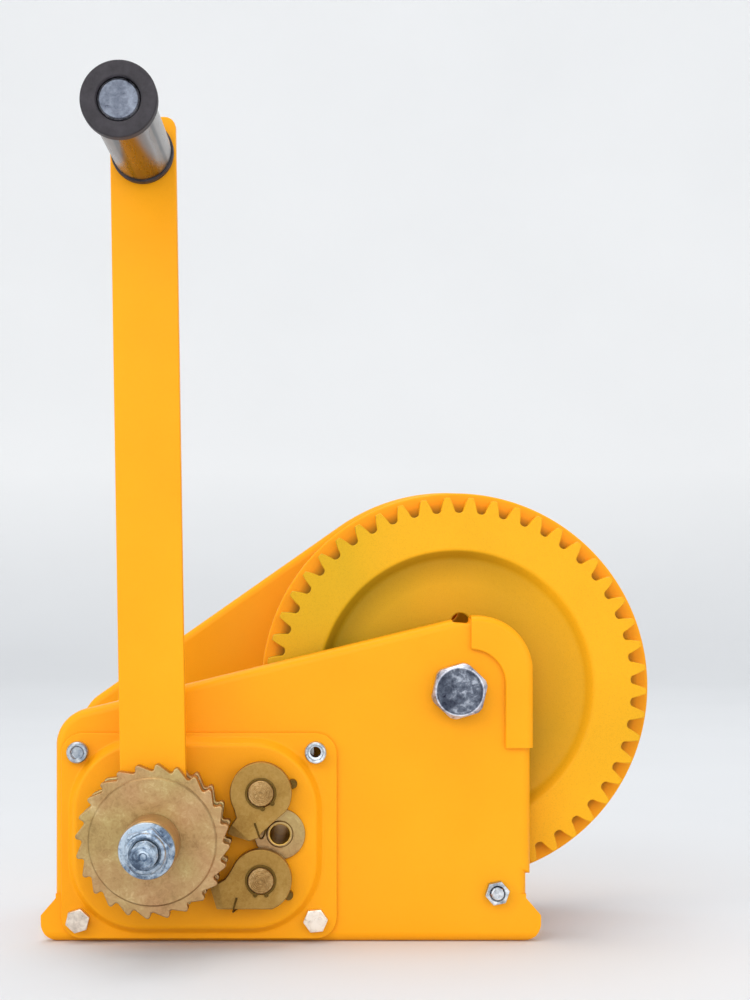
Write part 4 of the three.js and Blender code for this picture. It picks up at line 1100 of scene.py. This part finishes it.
def ratchet_outline():
    """Ratchet teeth: a long side that rises anticlockwise and ends in a steep face."""
    teeth, tip, root, sag = 24, 36, 31.5, 0.35
    pitch = 2 * math.pi / teeth
    points = []
    for tooth in range(teeth):
        step = math.radians(-1.5) + tooth * pitch
        points.append(polar(CRANK, tip, step - 0.04 * pitch))
        points.append(polar(CRANK, root, step + 0.03 * pitch))
        points.append(polar(CRANK, (root + tip) / 2 - sag, step + 0.5 * pitch))
    return points


def ratchet_wheel(node, boss):
    """A ratchet wheel, with a flat disc standing a boss's height proud of its teeth in front."""
    front, rear = depth(node)
    tooth_front = front + boss
    wheel = slab(ratchet_outline(), tooth_front, rear, 0.5, 0.5, corners=(1.3, 1.2))
    if boss:
        rim, edge = 29.2, 0.8
        profile = [(rim - edge, front), (rim, front + edge), (rim, tooth_front)]
        profile.append((rim + 0.7, tooth_front + 0.6))
        wheel = joined(wheel, turned(profile, CRANK, 0.25))
    return cut(wheel, bore(CRANK, SHAFT_HOLE, front, rear, 0.5))


def crank_arm(node):
    """A long flat bar with a round lower end and small rounded upper corners."""
    front, rear = depth(node)
    half, corner, lean, top = 15, 5, math.radians(0.9), 381
    length = (top - CRANK[1]) / math.cos(lean)
    outline = [(half, 0)] + arc((half - corner, length - corner), corner, 0, 90)
    outline += arc((-half + corner, length - corner), corner, 90, 180) + [(-half, 0)]
    outline += arc((0, 0), half, 180, 360)[1:-1]
    cos, sin = math.cos(lean), math.sin(lean)
    leaned = [(CRANK[0] + x * cos - z * sin, CRANK[1] + x * sin + z * cos) for x, z in outline]
    bar = slab(leaned, front, rear, 0.7, 0.7)
    return cut(bar, bore(CRANK, SHAFT_HOLE, front, rear), bore(GRIP, PIN_HOLE, front, rear))


def shaft_nut(node):
    """A nut with a rounded collar that holds a locking ring."""
    front, rear = depth(node)
    collar_end = front + 2.6
    flats = hexagon(CRANK, 10.97, collar_end - 0.6, rear, 0.25)
    profile = [(7.6, front), (8.7, front + 0.5), (9.2, front + 1.5), (9.2, collar_end + 1)]
    recess = turned([(7.2, front - 1), (7.2, front + 0.7), (6.1, front + 0.9)], CRANK, 0.1)
    body = cut(joined(flats, turned(profile, CRANK, 0.4)), recess)
    return cut(body, bore(CRANK, PIN_HOLE, front, rear, 0.3))


# ---------------- grip


def grip_pin(node):
    front, rear = depth(node)
    head, pin, rivet = 8.6, 6, 9
    head_end, rivet_face = front + 7, depth("crank_arm")[1] + 0.3
    profile = [(5.5, front + 0.12), (head - 0.9, front), (head, front + 0.7), (head, head_end)]
    profile += [(pin, head_end), (pin, rivet_face), (rivet, rivet_face), (rivet - 0.7, rear - 0.9), (5, rear)]
    return turned(profile, GRIP, 0.35)


def grip_collar(node, radius, hole, soft, stepped=False):
    """A moulded ring with rounded edges. A stepped one narrows where it meets the tube."""
    front, rear = depth(node)
    step = rear - 1.6 if stepped else rear
    profile = [(hole, front), (radius - 0.3, front), (radius, front + 0.9), (radius, step)]
    if stepped:
        profile += [(radius - 0.7, step + 0.2), (radius - 0.8, rear)]
    return turned(profile + [(hole, rear)], GRIP, soft, hollow=True)


# ---------------- pawls

# Places are measured from the pawl's pin, except the stud's. The round boss runs anticlockwise from one place
# on its rim to another, and the nose closes the outline. The facet's line is where the front face starts to
# slope back. The leg is the free end of the spring, from behind the pawl round to its front. The stud on the
# brake plate holds the spring's far end.
PAWL_SHAPES = {
    "upper": {
        "boss": ((11.6, -8.1), (-12.4, -7.1)),
        "nose": [(-11.3, -11.5), (-13.3, -14.2), (-15.6, -18.7), (-5.3, -22), (-1.4, -20.8), (0.7, -18)],
        "facet": ((-4, -22.6), (-14.6, -13.0)),
        "clip_opening": -62,
        "leg": [(8, -2), (1.2, -20.9), (-0.2, -21.2), (-2.8, -13.6)],
        "stud": (0.9, 75.2),
    },
    "lower": {
        "boss": ((5.2, -13.3), (-11.8, 7.9)),
        "nose": [(-14.4, 3.4), (-16.6, 0.4), (-19.5, -1.3), (-23.6, -1.9), (-20.3, -13.3)],
        "facet": ((-16.4, -14), (-19.6, -1)),
        "clip_opening": -90,
        "leg": [(6, -5), (-12, -14.6), (-13, -14.9), (-11.1, -7.9)],
        "stud": (-1.0, 23.5),
    },
}


def facet(front, start, end):
    """A cutter that slopes a pawl's nose back from a line on its front face, on the line's left."""
    start, end = np.array(start, float), np.array(end, float)
    along = (end - start) / np.linalg.norm(end - start)
    away = np.array([-along[1], along[0]])
    reach, slope = 20, 0.17
    section = [(0, front), (reach, front + reach * slope), (reach, front - 5), (0, front - 5)]
    rings = []
    for base in (start - 6 * along, end + 6 * along):
        rings.append([(base[0] + v * away[0], y, base[1] + v * away[1]) for v, y in section])
    return loft(rings)


def pawl(node, at, shape):
    front, rear = depth(node)
    start, end = (math.degrees(math.atan2(z, x)) for x, z in shape["boss"])
    outline = arc(at, 14.3, start, end % 360) + [(at[0] + x, at[1] + z) for x, z in shape["nose"]]
    line = [(at[0] + x, at[1] + z) for x, z in shape["facet"]]
    body = slab(softened(outline, 0.7), front, rear, 0.45, 0.45)
    return cut(body, bore(at, PIN_HOLE, front, rear), facet(front, *line))


def pawl_pin(node):
    """A pin with a turned end: fine rings round a small centre, inside a chamfer."""
    at, (front, rear) = centre(node), depth(node)
    radius, head, head_front = 6, 8.5, rear - 2
    profile = [(0.5, front + 0.25), (0.9, front + 0.05)]
    for r in (1.5, 2.3, 3.1, 3.9, 4.7):
        profile += [(r, front + 0.03), (r + 0.25, front + 0.14), (r + 0.5, front + 0.03)]
    profile += [(radius - 0.4, front + 0.05), (radius, front + 0.6), (radius, head_front), (head, head_front)]
    return turned(profile + [(head, rear - 0.4), (head - 0.4, rear)], at, 0.05)


def pawl_spring(node):
    """Three turns of round wire round the pawl pin, behind the pawl."""
    at, (front, rear) = centre(node), depth(node)
    wire, turns, steps = 0.55, 3, 36
    front, rear = front + wire, rear - wire
    path = []
    for i in range(turns * steps + 1):
        x, z = polar(at, 8.2, 2 * math.pi * i / steps)
        path.append((x, front + (rear - front) * i / (turns * steps), z))
    return swept(path, wire)


def spring_leg(at, front, rear, bends):
    """The spring's end, bent over the pawl's edge. Corners of the bent wire are rounded."""
    depths = (rear + 0.75, rear + 0.75, front - 0.6, front - 0.6)
    points = [np.array((at[0] + x, y, at[1] + z)) for (x, z), y in zip(bends, depths)]
    path = []
    for before, here, after in zip(points, points[1:], points[2:]):
        first, last = here + (before - here) * 0.35, here + (after - here) * 0.35
        for t in np.linspace(0, 1, 7):
            path.append((1 - t) ** 2 * first + 2 * t * (1 - t) * here + t * t * last)
    return swept([points[0], *path, points[-1]], 0.42)


# ---------------- the whole


def add_stage():
    """A round floor that curves up into a low wall, so that every view ends in the same pale tone."""
    floor_radius, bend, top, sides, bend_steps = 2.2, 1.4, 2.2, 96, 12
    profile = [(0.6, 0.0), (1.4, 0.0)]
    for i in range(bend_steps + 1):
        angle = math.radians(90 * i / bend_steps)
        profile.append((floor_radius + bend * math.sin(angle), bend * (1 - math.cos(angle))))
    profile.append((floor_radius + bend, top))
    verts = [(0.0, 0.0, 0.0)]
    for radius, height in profile:
        verts += [(*polar((0, 0), radius, 2 * math.pi * i / sides), height) for i in range(sides)]
    faces = [(0, 1 + i, 1 + (i + 1) % sides) for i in range(sides)]
    for here in range(1, 1 + (len(profile) - 1) * sides, sides):
        there = here + sides
        for i in range(sides):
            j = (i + 1) % sides
            faces.append((here + i, there + i, there + j, here + j))
    mesh = bpy.data.meshes.new("floor")
    mesh.from_pydata(verts, [], faces)
    mesh.shade_smooth()
    mesh.materials.append(pale_floor())
    floor = bpy.data.objects.new("floor", mesh)
    bpy.context.scene.collection.objects.link(floor)


def add_frame():
    parts = ("frame_floor", "frame_wall_front", "frame_wall_rear")
    piece("frame_wall_front", frame_sheet(), "frame_sheet.made", replaces=parts)
    add("corner_guard", corner_guard)
    add("brake_plate", brake_plate)
    add("plate_screw_upper_left", plate_screw)
    add("plate_spacer_upper_right", plate_spacer)
    add("plate_bolt_lower_left", bolt, M6, 0.3)
    add("plate_bolt_lower_right", bolt, M6, 0.1)
    add("tie_rod", tie_rod)
    add("tie_rod_nut_front", nut, M6, 0.2)
    add("tie_rod_nut_rear", nut, M6, 0.5)
    add("axle_bolt", axle_bolt)
    for node in ("axle_spacer_front", "axle_spacer_rear"):
        add(node, sleeve, AXLE, M16["hole"], 12)
    add("axle_washer_rear", sleeve, AXLE, M16["hole"], 15, 0.4)
    add("axle_nut", nut, M16, 0.2)


def add_drum():
    add("drum_core", drum_core)
    add("drum_flange_front", drum_front_flange)
    add("drum_flange_rear", drum_rear_flange)
    add("drum_gear", drum_gear)
    add("drum_bush_front", flanged_bush, M16["hole"], 12.7, 15, True)
    add("drum_bush_rear", flanged_bush, M16["hole"], 12.7, 15, False)
    add("rope_clamp", rope_clamp)
    add("rope_clamp_screw_left", rope_clamp_screw, -0.2)
    add("rope_clamp_screw_right", rope_clamp_screw, 0.2)


def add_idler():
    add("idler_shaft", idler_shaft)
    add("idler_gear", spur_gear, IDLER, WHEEL_TEETH, FINE, WHEEL_PHASE)
    add("idler_pinion", spur_gear, IDLER, PINION_TEETH, COARSE, PINION_PHASE)
    add("idler_spacer", sleeve, IDLER, SHAFT_HOLE, 11)
    add("idler_bush_front", flanged_bush, 6.08, 9, 11.8, True)
    add("idler_bush_rear", flanged_bush, PIN_HOLE, 9, 11.8, False)


def add_crank():
    add("crank_shaft", crank_shaft)
    add("crank_pinion", spur_gear, CRANK, CRANK_TEETH, FINE, CRANK_PHASE)
    for node in ("crank_bush_front", "crank_bush_rear"):
        add(node, flanged_bush, SHAFT_HOLE, 11, 14, True)
    add("crank_circlip", circlip, CRANK, 8.2, 10.2, 60, 1.4)
    for node in ("brake_flange", "friction_disc_rear", "friction_disc_front", "crank_hub"):
        add(node, sleeve, CRANK, SHAFT_HOLE, 24, 0.4)
    add("brake_ratchet", ratchet_wheel, 0)
    add("crank_arm", crank_arm)
    add("lock_ratchet", ratchet_wheel, 1.5)
    add("shaft_washer", sleeve, CRANK, PIN_HOLE, 12.5, 0.4)
    add("nut_spacer", sleeve, CRANK, PIN_HOLE, 13, 1.5)
    add("shaft_nut", shaft_nut)


def add_grip():
    add("grip_pin", grip_pin)
    add("grip_tube", sleeve, GRIP, 9.2, 13.3, 0.5)
    add("grip_collar_outer", grip_collar, 15.7, 9, 1.0, stepped=True)
    add("grip_collar_inner", grip_collar, 14.2, 7, 0.6)


def add_pawls():
    """The pawls, what holds them on the brake plate, and their springs with their legs and anchor studs."""
    clip_inner, clip_outer, clip_lug = 6.15, 7.2, 1.1
    stud_radius, stud_front, stud_rear = 2.2, -66.3, -61.5
    for label, shape in PAWL_SHAPES.items():
        add(f"pawl_{label}", pawl, PAWL[label], shape)
    for label, shape in PAWL_SHAPES.items():
        add(f"pawl_pin_{label}", pawl_pin)
        clip = (clip_inner, clip_outer, shape["clip_opening"], clip_lug)
        add(f"pawl_clip_{label}", circlip, PAWL[label], *clip)
        add(f"pawl_spring_{label}", pawl_spring)
    for label, shape in PAWL_SHAPES.items():
        spring = f"pawl_spring_{label}"
        leg = spring_leg(PAWL[label], *depth("pawl_upper"), shape["leg"])
        piece(spring, leg, f"{spring}_leg", f"{label}_pawl", replaces=())
    for label, shape in PAWL_SHAPES.items():
        stud = rod(shape["stud"], stud_radius, stud_front, stud_rear)
        piece("brake_plate", stud, f"spring_anchor_{label}", slot="dark_steel", replaces=())


add_camera()
add_lights()
add_stage()
MATERIALS = materials()
add_frame()
add_drum()
add_idler()
add_crank()
add_grip()
add_pawls()
